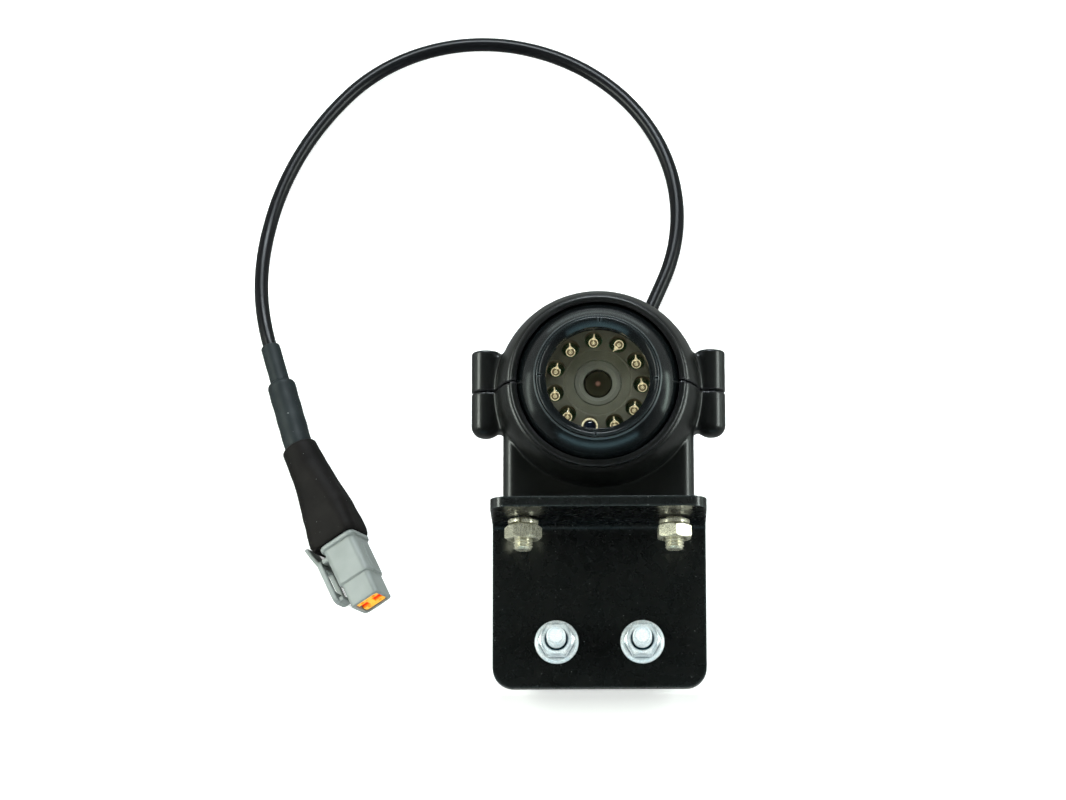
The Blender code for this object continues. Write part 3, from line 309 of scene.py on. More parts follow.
def make_looks():
    # The edge colours of the next three looks are painted highlights on outer corners.
    painted("powder_coat", (0.0048, 0.0058, 0.0056), (0.0066, 0.0072, 0.0068), 0.27, 0.5, 0.0015,
            coat=0.06, specks=0.6, shine=0.42, edge=(0.022, 0.027, 0.027))
    painted("cast_black", (0.0036, 0.0043, 0.0040), (0.0054, 0.0056, 0.0050), 0.31, 0.34, 0.022,
            shine=0.45, edge=(0.034, 0.032, 0.037))
    painted("ball_black", (0.0026, 0.0034, 0.0038), (0.0036, 0.0046, 0.0050), 0.17, 0.30, 0.002,
            coat=0.1, edge=(0.030, 0.036, 0.038))
    # Zinc's edge colour is painted shade in creases and a painted dark reflection on outer corners.
    metal("zinc", (1.0, 1.0, 1.0), (0.84, 0.93, 0.97), 0.2, 0.30, (0.012, 0.05, 0.08))
    metal("stainless", (0.80, 0.76, 0.60), (0.56, 0.53, 0.40), 0.20, 0.68)
    painted("black_screw", (0.010, 0.010, 0.011), (0.02, 0.02, 0.02), 0.35, 0.2, 0.01, metal=0.7)
    painted("rubber", (0.008, 0.008, 0.008), (0.013, 0.013, 0.013), 0.6, 0.2, 0.02)
    painted("shroud", (0.072, 0.067, 0.040), (0.106, 0.098, 0.064), 0.6, 0.22, 0.045)
    painted("board", (0.008, 0.06, 0.025), (0.012, 0.09, 0.04), 0.4, 0.5, 0.01)
    painted("barrel", (0.088, 0.085, 0.062), (0.118, 0.114, 0.086), 0.5, 0.12, 0.012)
    painted("chip", (0.01, 0.01, 0.018), (0.03, 0.03, 0.045), 0.12, 0.4, 0.002)
    painted("cable", (0.0034, 0.0036, 0.0044), (0.0052, 0.0052, 0.0062), 0.30, 0.8, 0.006, shine=0.22)
    painted("slate_sleeve", (0.0095, 0.0135, 0.0150), (0.0150, 0.0200, 0.0215), 0.50, 0.35, 0.03,
            specks=0.7, shine=0.2)
    painted("brown_sleeve", (0.0046, 0.0034, 0.0031), (0.0085, 0.0066, 0.0058), 0.60, 0.4, 0.045,
            specks=0.2, shine=0.13)
    painted("grey_plastic", (0.185, 0.200, 0.190), (0.235, 0.250, 0.238), 0.42, 0.25, 0.02)
    orange_with_painted_shade_and_glow("orange_plastic")
    painted("orange_seal", (0.7, 0.14, 0.02), (0.85, 0.2, 0.03), 0.55, 0.3, 0.01)
    metal("nickel", (0.78, 0.74, 0.66), (0.6, 0.56, 0.5), 0.2)
    gold_with_painted_shade_and_glow("gold")
    for wire, dark, light in (
        ("wire_red", (0.5, 0.015, 0.015), (0.6, 0.03, 0.03)),
        ("wire_black", (0.015, 0.015, 0.015), (0.03, 0.03, 0.03)),
        ("wire_white", (0.7, 0.7, 0.68), (0.8, 0.8, 0.78)),
        ("wire_yellow", (0.7, 0.5, 0.02), (0.8, 0.6, 0.04)),
    ):
        painted(wire, dark, light, 0.4, 0.3, 0.006)
    clear("window", (0.98, 0.985, 0.98), 1.12)
    clear("led_clear", (0.97, 0.96, 0.90), 1.35, body=0.10)
    glass_with_painted_reflection("dark_lens")
    painted("cell_blue", (0.006, 0.010, 0.020), (0.010, 0.014, 0.028), 0.10, 2.0, 0.0005)


# ---- mesh helpers


def from_bmesh(name, bm):
    bmesh.ops.recalc_face_normals(bm, faces=bm.faces)
    mesh = bpy.data.meshes.new(name)
    bm.to_mesh(mesh)
    bm.free()
    return mesh


def add_object(name, data):
    obj = bpy.data.objects.new(name, data)
    bpy.context.scene.collection.objects.link(obj)
    return obj


def add_piece(name, shape, look, body, matrix, replaced=None, sharp=35):
    """Puts a shape in the row frame, gives it its look, and lets it stand for its CAD node."""
    mesh = from_bmesh(name, shape) if isinstance(shape, bmesh.types.BMesh) else shape
    mesh.transform(matrix)
    if not mesh.has_custom_normals:
        mesh.shade_smooth()
        mesh.set_sharp_from_angle(angle=math.radians(sharp))
    mesh.materials.append(LOOKS[look])
    obj = add_object(name, mesh)
    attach(obj, body)
    SLOT_OF.get(look, look)
    if replaced:
        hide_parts(replaced)


def from_arrays(name, points, quads):
    mesh = bpy.data.meshes.new(name)
    mesh.from_pydata(points, [], quads)
    mesh.validate()
    return mesh


def arc(centre, radius, start, end, steps):
    """Points on an arc, angles in degrees, both ends included."""
    angles = np.radians(np.linspace(start, end, steps + 1))
    return [
        (centre[0] + radius * math.cos(a), centre[1] + radius * math.sin(a)) for a in angles
    ]


NEARLY_STRAIGHT = math.radians(88)


def filleted(corners, radius, closed=True, steps=4):
    """A polyline with each corner rounded. A third number in a corner is its own radius."""
    count = len(corners)
    points = []
    for index, corner in enumerate(corners):
        here = Vector(corner[:2])
        own = corner[2] if len(corner) > 2 else radius
        before = Vector(corners[index - 1][:2]) - here
        after = Vector(corners[(index + 1) % count][:2]) - here
        at_end = not closed and index in (0, count - 1)
        if at_end or own <= 0 or before.angle(after) / 2 > NEARLY_STRAIGHT:
            points.append(tuple(here))
            continue
        half = before.angle(after) / 2
        reach = min(own / math.tan(half), 0.45 * before.length, 0.45 * after.length)
        start = here + before.normalized() * reach
        end = here + after.normalized() * reach
        middle = (before.normalized() + after.normalized()).normalized()
        centre = here + middle * (reach / math.cos(half))
        for k in range(steps + 1):
            towards = (start.lerp(end, k / steps) - centre).normalized()
            points.append(tuple(centre + towards * (start - centre).length))
    return points


def turned(profile, sides):
    """A (radius, height) outline spun about Z. It closes on itself unless it starts on the axis."""
    bm = bmesh.new()
    verts = [bm.verts.new((radius, 0, height)) for radius, height in profile]
    edges = [bm.edges.new(pair) for pair in zip(verts, verts[1:])]
    if profile[0][0] > 0:
        edges.append(bm.edges.new((verts[-1], verts[0])))
    about = {"cent": (0, 0, 0), "axis": (0, 0, 1), "angle": 2 * math.pi}
    bmesh.ops.spin(bm, geom=verts + edges, steps=sides, use_merge=True, **about)
    bmesh.ops.remove_doubles(bm, verts=bm.verts, dist=1e-4)
    return bm


def cylinder(radius, low, high, sides=64):
    return turned([(0, low), (radius, low), (radius, high), (0, high)], sides)


def skin(rings, hollow=False):
    """Rings of equally many points, joined in order. A hollow skin joins its last ring to its
    first, and any other gets a cap on each end."""
    bm = bmesh.new()
    loops = [[bm.verts.new(point) for point in ring] for ring in rings]
    pairs = list(zip(loops, loops[1:]))
    if hollow:
        pairs.append((loops[-1], loops[0]))
    for lower, upper in pairs:
        for k in range(len(lower)):
            n = (k + 1) % len(lower)
            bm.faces.new((lower[k], lower[n], upper[n], upper[k]))
    if not hollow:
        bm.faces.new(loops[0][::-1])
        bm.faces.new(loops[-1])
    return bm


def joined(*meshes):
    """One bmesh out of several."""
    whole = bmesh.new()
    for bm in meshes:
        part = bpy.data.meshes.new("part")
        bm.to_mesh(part)
        bm.free()
        whole.from_mesh(part)
        bpy.data.meshes.remove(part)
    return whole


def moved(bm, matrix):
    bmesh.ops.transform(bm, matrix=matrix, verts=bm.verts)
    return bm


def swept(points, radius, sides):
    """A round bar along a line of points, with its rings carried along without twist."""
    rings = []
    previous = (points[1] - points[0]).normalized()
    across = previous.orthogonal().normalized()
    turns = [2 * math.pi * k / sides for k in range(sides)]
    for behind, point, ahead in zip(points[:1] + points, points, points[1:] + points[-1:]):
        tangent = (ahead - behind).normalized()
        across = previous.rotation_difference(tangent) @ across
        other = tangent.cross(across)
        previous = tangent
        rings.append(
            [point + radius * (math.cos(a) * across + math.sin(a) * other) for a in turns]
        )
    return skin(rings)


def modify(obj, kind, **settings):
    modifier = obj.modifiers.new(kind, kind)
    for key, value in settings.items():
        setattr(modifier, key, value)


def cut_with(shape, name, cutters, bevel=0.0):
    """Cuts a bmesh with others and rounds the new edges; returns the finished mesh."""
    body = add_object(name, from_bmesh(name, shape))
    body.data.shade_smooth()
    helpers = [add_object("cut", from_bmesh("cut", cutter)) for cutter in cutters]
    for helper in helpers:
        modify(body, "BOOLEAN", operation="DIFFERENCE", object=helper)
    if bevel:
        angles = {"limit_method": "ANGLE", "angle_limit": math.radians(32)}
        modify(body, "BEVEL", width=bevel, segments=3, miter_outer="MITER_ARC", **angles)
        modify(body, "WEIGHTED_NORMAL", weight=100)
    graph = bpy.context.evaluated_depsgraph_get()
    made = bpy.data.meshes.new_from_object(body.evaluated_get(graph))
    made.name = name
    for obj in (body, *helpers):
        bpy.data.objects.remove(obj)
    return made


# ---- distance fields

BLOCK = 8


def smooth_union(a, b, k):
    h = np.clip(0.5 + 0.5 * (b - a) / k, 0, 1)
    return b + (a - b) * h - k * h * (1 - h)


def smooth_cut(a, b, k):
    """What is left of a after b is taken away."""
    return -smooth_union(-a, b, k)


def smooth_common(a, b, k):
    return -smooth_union(-a, -b, k)


def rounded_corner(a, b, radius):
    """Distance to what lies inside both a and b, with the corner between them rounded."""
    a = a + radius
    b = b + radius
    outside = np.sqrt(np.maximum(a, 0) ** 2 + np.maximum(b, 0) ** 2)
    return outside + np.minimum(np.maximum(a, b), 0) - radius


def field_box(x, y, z, half, radius):
    """Distance to a box about the origin whose edges are rounded."""
    qx, qy, qz = (np.abs(c) - h + radius for c, h in zip((x, y, z), half))
    outside = np.sqrt(np.maximum(qx, 0) ** 2 + np.maximum(qy, 0) ** 2 + np.maximum(qz, 0) ** 2)
    return outside + np.minimum(np.maximum(qx, np.maximum(qy, qz)), 0) - radius


def field_post(x, y, z, half_x, half_y, corner, low, high, edge):
    """Distance to an upright post: a rounded rectangle in XY, with its end edges rounded."""
    flat = rounded_corner(np.abs(x) - half_x, np.abs(y) - half_y, corner)
    return rounded_corner(flat, np.maximum(low - z, z - high), edge)


def field_mesh(name, field, low, high, step):
    """The zero surface of a distance field, as quads, by the surface-nets rule. Only blocks
    near the surface are sampled finely."""
    low = np.array(low, float)
    blocks = np.ceil((np.array(high) - low) / step / BLOCK).astype(int)
    grid = np.indices(tuple(blocks)).reshape(3, -1).T
    middle = low + step * (BLOCK * grid + (BLOCK - 1) / 2)
    far = field(*middle.T)
    near = np.abs(far) < step * BLOCK * 0.95
    values = far.reshape(tuple(blocks)).astype(np.float32)
    for axis in range(3):
        values = np.repeat(values, BLOCK, axis)
    inner = np.indices((BLOCK,) * 3).reshape(3, -1).T
    fine = (BLOCK * grid[near][:, None, :] + inner[None, :, :]).reshape(-1, 3)
    values[tuple(fine.T)] = field(*(low + step * fine).T)

    inside = values < 0
    corners = [(i, j, k) for i in (0, 1) for j in (0, 1) for k in (0, 1)]
    total = sum(
        inside[i : i - 1 or None, j : j - 1 or None, k : k - 1 or None].astype(np.int8)
        for i, j, k in corners
    )
    cells = np.argwhere((total > 0) & (total < 8))
    number = np.full(total.shape, -1, np.int32)
    number[tuple(cells.T)] = np.arange(len(cells))
    place = np.zeros((len(cells), 3))
    crossings = np.zeros(len(cells))
    axes = np.eye(3, dtype=int)
    for first in corners:
        for along in axes:
            if np.dot(first, along):
                continue
            a = values[tuple((cells + first).T)]
            b = values[tuple((cells + first + along).T)]
            hit = (a < 0) != (b < 0)
            share = np.where(hit, a / np.where(hit, a - b, 1), 0)
            place += hit[:, None] * (first + share[:, None] * along)
            crossings += hit
    points = low + step * (cells + place / crossings[:, None])

    quads = []
    for axis in range(3):
        u, v = (axis + 1) % 3, (axis + 2) % 3
        first = np.moveaxis(inside, (axis, u, v), (0, 1, 2))
        where = np.argwhere(first[:-1, 1:-1, 1:-1] != first[1:, 1:-1, 1:-1])
        entering = first[where[:, 0] + 1, where[:, 1] + 1, where[:, 2] + 1]
        order = np.argsort((axis, u, v))
        shifts = ((0, 0, 0), (0, 1, 0), (0, 1, 1), (0, 0, 1))
        ring = np.stack([number[tuple((where + shift)[:, order].T)] for shift in shifts], 1)
        ring[entering] = ring[entering][:, ::-1]
        quads.append(ring)
    quads = np.concatenate(quads)

    tiny = 0.02
    for _ in range(2):
        here = field(*points.T)
        slope = [(field(*(points + tiny * along).T) - here) / tiny for along in axes]
        slope = np.stack(slope, 1)
        length = np.maximum((slope**2).sum(1), 0.25)
        shift = np.clip(here / length, -0.5 * step, 0.5 * step)
        points = points - shift[:, None] * slope
    return from_arrays(name, points, quads)


# ---- bracket

PLATE_WIDTH, PLATE_THICK, PLATE_BOTTOM, PLATE_CORNER = 66.0, 3.2, -14.1, 6.5
FLANGE_TOP, FLANGE_REACH, FLANGE_CORNER, BEND_RADIUS = 39.9, 32.3, 5.2, 3.0
MOUNT_X, STUD_X, FOOT_Y = 26.4 / 2, 46.5 / 2, -13.55
BARE_SEAT, SEAT_DEPTH, M6_HOLE = 7.3, 0.15, 3.3


def make_bracket():
    outer = BEND_RADIUS + PLATE_THICK
    bend = (-outer, FLANGE_TOP - outer)
    outline = [(0, PLATE_BOTTOM), *arc(bend, outer, 0, 90, 20), (-FLANGE_REACH, FLANGE_TOP)]
    outline += [(-FLANGE_REACH, FLANGE_TOP - PLATE_THICK), *arc(bend, BEND_RADIUS, 90, 0, 20)]
    outline += [(-PLATE_THICK, PLATE_BOTTOM)]
    bm = skin([[(x, y, z) for y, z in outline] for x in (-PLATE_WIDTH / 2, PLATE_WIDTH / 2)])
    for axis, value, radius in ((2, PLATE_BOTTOM, PLATE_CORNER), (1, -FLANGE_REACH, FLANGE_CORNER)):
        ends = [
            edge
            for edge in bm.edges
            if all(abs(v.co[axis] - value) < 1e-3 for v in edge.verts)
            and abs(edge.verts[0].co.x - edge.verts[1].co.x) < 1e-3
        ]
        bmesh.ops.bevel(bm, geom=ends, offset=radius, segments=14, affect="EDGES", profile=0.5)
    cutters = []
    for side in (-1, 1):
        seat = [(0, -1), (BARE_SEAT, -1), (BARE_SEAT, SEAT_DEPTH), (M6_HOLE, SEAT_DEPTH)]
        seat = turned(seat + [(M6_HOLE, 8), (0, 8)], 64)
        cutters.append(moved(seat, spot(side * MOUNT_X, 0, 0) @ QUARTER))
        cutters.append(moved(cylinder(M6_HOLE, -9, 4), spot(side * STUD_X, FOOT_Y, FLANGE_TOP)))
    mesh = cut_with(bm, "bracket_plate", cutters, bevel=0.32)
    add_piece("bracket_plate", mesh, "powder_coat", "mount", ROW, "bracket", 28)


# ---- screws and nuts

M6_RADIUS, NUT_FLATS, NUT_HEIGHT, FLANGE_NUT_HEIGHT = 2.95, 10.0, 4.2, 6.0
WASHER_FACE, WASHER_THICK, BOLT_SEAT, BOLT_FLATS = 6.8, 1.6, 16.0, 8.0
STUD_TIP, STUD_TOP, CHAMFER_RUN = 27.0, 53.8, 1.73


def ring_of(radius_at, height, sides=96):
    """A ring whose radius is a function of the angle."""
    angles = [2 * math.pi * k / sides for k in range(sides)]
    return [(radius_at(a) * math.cos(a), radius_at(a) * math.sin(a), height) for a in angles]


def circles(*sizes, sides=96):
    """Round rings from (radius, height) pairs."""
    return [ring_of(lambda a, r=radius: r, height, sides) for radius, height in sizes]


def hex_radius(flats):
    def radius(angle):
        from_flat = math.radians((math.degrees(angle) + 30) % 60 - 30)
        return flats / 2 / math.cos(from_flat)

    return radius


def hex_rings(flats, low, high, chamfer_low):
    """Rings of a hexagon prism turned to a 30-degree chamfer above and, if asked, below."""
    prism = hex_radius(flats)

    def turned_down(depth, height):
        cone = flats / 2 * 0.96 + depth * CHAMFER_RUN
        return ring_of(lambda a: min(prism(a), cone), height)

    depths = [0.15 * k for k in range(7)]
    rings = [turned_down(depth, low + depth) for depth in depths] if chamfer_low else []
    rings = rings or [ring_of(prism, low)]
    return rings + [turned_down(depth, high - depth) for depth in reversed(depths)]


def thread_rings(low, high, outer, depth, pitch, plain_to=-math.inf):
    """Rings down a screw: the radius follows a helix. Both ends run out to a chamfer."""
    rings = []
    steps = math.ceil((high - low) / pitch * 10)
    for k in range(steps + 1):
        z = low + (high - low) * k / steps
        edge = min(z - low, high - z)
        limit = outer - max(0.0, 0.7 - edge) * 0.9
        groove = depth * 0.12 if z < plain_to else depth

        def radius(angle, z=z, limit=limit, groove=groove):
            phase = (z / pitch - angle / (2 * math.pi)) % 1.0
            return min(outer - groove * (1 - min(1.0, 2.4 * abs(phase - 0.5)) ** 1.4), limit)

        rings.append(ring_of(radius, z, 48))
    return rings


def nut(flanged):
    """A flange nut for the plate, or a plain one for a foot stud."""
    if flanged:
        height, edge = FLANGE_NUT_HEIGHT, WASHER_FACE - 0.2
        rings = circles((edge, 0), (WASHER_FACE, 0.15), (WASHER_FACE, 0.75), (edge, 1.0))
        rings += circles((6.1, 1.45), (5.85, 1.75))
        rings += hex_rings(NUT_FLATS, 1.9, height, False)
    else:
        height = NUT_HEIGHT
        rings = hex_rings(NUT_FLATS, 0, height, True)
    bore, mouth = M6_RADIUS + 0.3, M6_RADIUS + 0.75
    rings += circles((mouth, height - 0.02), (bore, height - 0.45), (bore, 0.45), (mouth, 0.0))
    return skin(rings, hollow=True)


def spring_washer():
    """A ring cut through once, whose two ends stand at different heights."""
    inner, outer, split, steps = 3.2, 4.7, 5, 96
    section = [(inner, 0), (outer, 0), (outer, WASHER_THICK), (inner, WASHER_THICK)]
    rings = []
    for k in range(steps + 1):
        angle = math.radians(split + (360 - 2 * split) * k / steps)
        lift = 0.14 + 0.35 * (k / steps - 0.5)
        c, s = math.cos(angle), math.sin(angle)
        rings.append([(r * c, r * s, 0.82 * z + lift) for r, z in filleted(section, 0.22)])
    return skin(rings)


def flange_bolt():
    threads = thread_rings(0, BOLT_SEAT - GAP, M6_RADIUS, 0.34, 1.0, plain_to=7.0)
    shank = skin(threads + circles((M6_RADIUS, BOLT_SEAT), sides=48))
    flange = [(WASHER_FACE, 0), (WASHER_FACE, 0.7), (6.6, 1.0), (5.2, 1.8), (4.9, 2.1)]
    top = BOLT_SEAT + 6.6
    head = circles(*[(radius, BOLT_SEAT + z) for radius, z in flange])
    head += hex_rings(BOLT_FLATS, BOLT_SEAT + 2.2, top, False)
    head += circles((3.0, top), (2.7, top - 0.3))
    return joined(shank, skin(head))


def make_hardware():
    foot_z = FLANGE_TOP - PLATE_THICK - GAP - WASHER_THICK
    for name, side, nut_turn, split_turn in (("left", -1, 30, -100), ("right", 1, 5, 200)):
        hole, stud = side * MOUNT_X, side * STUD_X
        backwards = spot(hole, GAP - BOLT_SEAT, 0) @ QUARTER.inverted()
        forwards = spot(hole, -PLATE_THICK - GAP, 0) @ QUARTER @ spot(0, 0, 0, 30)
        at_washer = spot(stud, FOOT_Y, foot_z, split_turn)
        at_nut = spot(stud, FOOT_Y, foot_z - GAP - NUT_HEIGHT, nut_turn)
        bar = skin(thread_rings(STUD_TIP, STUD_TOP, M6_RADIUS, 0.42, 1.0))
        for piece, shape, look, at, node, sharp in (
            ("bolt", flange_bolt(), "zinc", backwards, "mounting_bolt", 35),
            ("plate_nut", nut(True), "zinc", forwards, "flange_nut", 24),
            ("stud", bar, "stainless", spot(stud, FOOT_Y, 0), "foot_stud", 35),
            ("lock_washer", spring_washer(), "stainless", at_washer, "spring_washer", 35),
            ("foot_nut", nut(False), "stainless", at_nut, "hex_nut", 24),
        ):
            add_piece(f"{piece}_{name}", shape, look, "mount", ROW @ at, f"{node}_{name}", sharp)


# ---- clamp

CLAMP_OUTER, CLAMP_INNER, CLAMP_SIDE, LIP = 31.9, 29.8, 15.7, 17.6
BEAD_RADIUS, BEAD_HALF, PAD_POCKET, PAD_DEPTH = 25.95, 1.05, 8.3, 30.9
EAR_X, EAR_RADIUS, EAR_TOP, EAR_BOTTOM = 34.8, 4.5, 13.2, -14.0
SCREW_HOLE, SCREW_SINK, SCREW_SEAT, SCREW_END = 2.25, 3.5, 9.0, -9.8
FOOT_HALF_X, FOOT_HALF_Y, STUD_HOLE = 29.4, 6.8, 3.25
FOOT_BOTTOM = FLANGE_TOP + GAP - BALL.z / MM
STUD_HOLE_TOP = STUD_TOP + GAP - BALL.z / MM


def clamp_field(half):
    """The distance to one half of the clamp, about the ball's centre: 1 is the upper half."""
    def field(x, y, z):
        around = np.sqrt(x**2 + z**2)
        ball = np.sqrt(around**2 + y**2)
        shell = smooth_common(ball - CLAMP_OUTER, np.abs(y) - CLAMP_SIDE, 0.8)
        bead = rounded_corner(np.abs(around - BEAD_RADIUS) - BEAD_HALF, np.abs(y) - LIP, 0.55)
        body = smooth_union(shell, bead, 0.5)
        from_screw = np.sqrt((np.abs(x) - EAR_X) ** 2 + y**2)
        if half > 0:
            ear = rounded_corner(from_screw - EAR_RADIUS, z - EAR_TOP, 0.8)
            web_low, web_high = -3.0, 11.9
        else:
            ear = rounded_corner(from_screw - EAR_RADIUS, EAR_BOTTOM - z, 3.7)
            web_low, web_high = -12.4, 3.0
        middle = (web_low + web_high) / 2
        web = field_box(np.abs(x) - 29.8, y, z - middle, (5.0, 3.2, (web_high - web_low) / 2), 1.0)
        body = smooth_union(body, smooth_union(web, ear, 1.0), 1.8)
        if half < 0:
            foot = field_post(x, y, z, FOOT_HALF_X, FOOT_HALF_Y, 4.0, FOOT_BOTTOM, -4.0, 0.5)
            body = smooth_union(body, foot, 0.6)
        body = smooth_cut(body, ball - CLAMP_INNER, 0.35)
        body = smooth_common(body, half * -z + 0.25, 0.45)
        pocket = np.maximum(np.sqrt(x**2 + y**2) - PAD_POCKET, ball - PAD_DEPTH)
        body = np.maximum(body, -pocket)
        body = smooth_cut(body, np.maximum(from_screw - SCREW_HOLE, SCREW_END - z), 0.15)
        if half > 0:
            return smooth_cut(body, np.maximum(from_screw - SCREW_SINK, SCREW_SEAT - z), 0.3)
        stud = np.sqrt((np.abs(x) - STUD_X) ** 2 + y**2) - STUD_HOLE
        return smooth_cut(body, np.maximum(stud, z - STUD_HOLE_TOP), 0.2)

    return field


def clamp_screw():
    """A cap screw with a hexagon socket."""
    seat, top, tip = SCREW_SEAT + GAP, 12.7, -9.5
    shank = skin(thread_rings(tip, seat, 1.95, 0.24, 0.7))
    head = circles((3.2, seat), (3.2, top - 0.3), (3.1, top - 0.08), (2.9, top))
    head += [ring_of(hex_radius(3.0), z) for z in (top, seat + 1.4)]
    return joined(shank, skin(head))


def make_clamp():
    for half, casting, node, low, high in (
        (1, "upper_casting", "upper_clamp", (-40.6, -19, -0.8), (40.6, 19, 33.2)),
        (-1, "base_casting", "base_clamp", (-40.6, -19, -38), (40.6, 19, 0.8)),
    ):
        mesh = field_mesh(casting, clamp_field(half), low, high, 0.45)
        add_piece(casting, mesh, "cast_black", "mount", AT_BALL, node, 60)
    for name, side in (("left", -1), ("right", 1)):
        at = AT_BALL @ spot(side * EAR_X, 0, 0)
        names = (f"cap_screw_{name}", f"clamp_screw_{name}")
        add_piece(names[0], clamp_screw(), "black_screw", "mount", at, names[1], 30)


# ---- ball

BALL_RADIUS, SHELL_INNER, SHROUD_FACE = 29.3, 26.3, 14.6
FRONT_MOUTH, WINDOW_SEAT, REAR_STEP, REAR_END = 19.0, 17.5, 22.5, -24.5
LED_PLACES, LED_CIRCLE, LED_FIRST = 11, 13.6, math.radians(259.2)
LAMP_RADIUS, CUP_SHIFT = 2.45, -0.45
SIDES = 144


def dome(radius, first, last, steps):
    start = math.degrees(math.asin(first / radius))
    end = math.degrees(math.asin(last / radius))
    return arc((0, 0), radius, start, end, steps)


def domed(radius, base, shoulder, tip, first, last, steps):
    """The outline of a round body whose dome is drawn from the first to the last angle."""
    crown = [
        (radius * math.cos(a), shoulder + (tip - shoulder) * math.sin(a))
        for a in np.radians(np.linspace(first, last, steps))
    ]
    return [(0, base), (radius, base), (radius, shoulder), *crown, (0, tip)]


def lens_piece(name, profile, look, replaced, sides=SIDES, sharp=35):
    """A turned piece on the lens axis."""
    add_piece(name, turned(profile, sides), look, "camera", LENS, replaced, sharp)


def make_shells():
    edge = math.sqrt(BALL_RADIUS**2 - FRONT_MOUTH**2)
    front = [(SHELL_INNER, 0.15), (29.0, 0.15), *dome(BALL_RADIUS, 0.45, edge - 0.25, 34)]
    front += [(FRONT_MOUTH + 0.15, edge - 0.02), (FRONT_MOUTH, edge - 0.2), (FRONT_MOUTH, 16.0)]
    front += [(16.5, 16.0), (16.5, 14.9), (WINDOW_SEAT, 14.9), (WINDOW_SEAT, 7.0)]
    front += dome(SHELL_INNER, 7.0, 0.15, 5)[:-1]
    lens_piece("ball_front", front, "ball_black", "front_shell")
    ledge = -8.3
    ledge_foot = -math.sqrt(SHELL_INNER**2 - REAR_STEP**2)
    rear = [(29.0, -0.15), (28.6, -0.15), (28.6, -1.3), (27.0, -1.3), (27.0, -0.15)]
    rear += [*dome(SHELL_INNER, -0.15, ledge, 6), (REAR_STEP, ledge)]
    rear += [*dome(SHELL_INNER, ledge_foot, REAR_END, 10), (4.6, REAR_END), (4.6, -27.7)]
    rear += [(4.8, -27.88), (8.2, -27.88), *dome(BALL_RADIUS, -28.1, -0.45, 34)]
    lens_piece("ball_rear", rear, "ball_black", "rear_shell")


def make_bezel():
    outer, opening, crest, notch_radius = 18.82, 15.8, 22.78, 17.9
    outline = [(17.9, 16.3, 0.1), (outer, 16.3, 0.2), (outer, crest, 0.36), (17.85, crest, 0.40)]
    outline += [(opening + 0.15, 20.75, 0.35), (opening, 19.5, 0.15), (17.9, 19.5, 0.05)]
    cutters = []
    for index in range(4):
        turn = 88 + 90 * index
        angle = math.radians(turn)
        bm = bmesh.new()
        bmesh.ops.create_cube(bm, size=1)
        bmesh.ops.scale(bm, vec=(1.3, 0.45, 1.2), verts=bm.verts)
        x, y = notch_radius * math.cos(angle), notch_radius * math.sin(angle)
        cutters.append(moved(bm, spot(x, y, 22.6, turn)))
    mesh = cut_with(turned(filleted(outline, 0.2, steps=5), SIDES), "bezel_turned", cutters)
    add_piece("bezel_turned", mesh, "ball_black", "camera", LENS, "bezel_ring")


def led_spots():
    for index in range(LED_PLACES):
        angle = LED_FIRST + 2 * math.pi * index / LED_PLACES
        yield index, LED_CIRCLE * math.cos(angle), LED_CIRCLE * math.sin(angle)


def make_shroud():
    bore, rim, back, step = 7.3, 17.2, SHROUD_FACE - 3.2, 10.1
    low = SHROUD_FACE - 0.4
    outline = [(bore, back), (rim, back), (rim, SHROUD_FACE)]
    outline += [(step + 0.4, SHROUD_FACE), (step, low), (bore, low)]
    holes = [moved(cylinder(2.75, 9, 18, 56), spot(x, y, 0)) for _, x, y in led_spots()]
    mesh = cut_with(turned(outline, SIDES), "face_plate", holes, bevel=0.14)
    add_piece("face_plate", mesh, "shroud", "camera", LENS, "led_shroud", 30)


def lamp_frame():
    """What shows inside a clear lamp: the reflector cup with its die, and the two posts."""
    cup = [(0, 11.2), (1.0, 11.2), (1.45, 12.3), (1.45, 12.5), (1.26, 12.5), (1.12, 12.2)]
    cup += [(0.76, 11.9), (0.60, 11.9), (0.52, 12.1), (0.40, 12.1), (0.34, 11.8), (0, 11.78)]
    die = turned([(0, 11.7), (0.2, 11.7), (0.2, 12.1), (0, 12.12)], 16)
    shift = spot(0, CUP_SHIFT, 0)
    shoulder = bmesh.new()
    ends = {"radius1": 0.85, "radius2": 0.14, "depth": 1.3}
    bmesh.ops.create_cone(shoulder, cap_ends=True, segments=20, **ends)
    moved(shoulder, spot(0.05, 1.15, 11.8) @ QUARTER.inverted())
    post = moved(cylinder(0.17, 0, 1.0, 12), spot(0.05, 1.5, 12.0) @ QUARTER.inverted())
    line = ((0, CUP_SHIFT, 12.05), (0.03, 0.0, 12.9), (0.06, 0.6, 13.05), (0.1, 1.2, 12.2))
    whisker = swept([Vector(point) for point in line], 0.06, 8)
    return joined(moved(turned(cup, 40), shift), moved(die, shift), shoulder, post, whisker)


def toned(mesh, tone_at):
    """Stores how bright each point of a mesh is, for the looks that read it."""
    tone = mesh.attributes.new("tone", "FLOAT", "POINT")
    for vertex, item in zip(mesh.vertices, tone.data):
        item.value = tone_at(*vertex.co)
    return mesh


def lamp_painted_shade(x, y, z):
    """Painted shade in a lamp's hollows: dark on the cup's inner slope, and darker in the moat round
    its die.
    """
    away = math.hypot(x, y - CUP_SHIFT)
    if z < 12.3 and 0.56 < away < 1.2:
        return 0.22
    return 0.1 if z < 12.3 and 0.25 < away < 0.38 else 1.0


def make_photocell(at):
    ring = filleted([(2.05, 12.6), (2.5, 12.6), (2.5, 13.3), (2.05, 13.3)], 0.15)
    ring = toned(from_bmesh("cell_ring", turned(ring, 48)), lamp_painted_shade)
    add_piece("cell_ring", ring, "gold", "camera", at)
    cell = turned(domed(2.0, 10.0, 12.7, 14.0, 10, 84, 9), 40)
    add_piece("cell_dome", cell, "cell_blue", "camera", at, "photocell", 60)


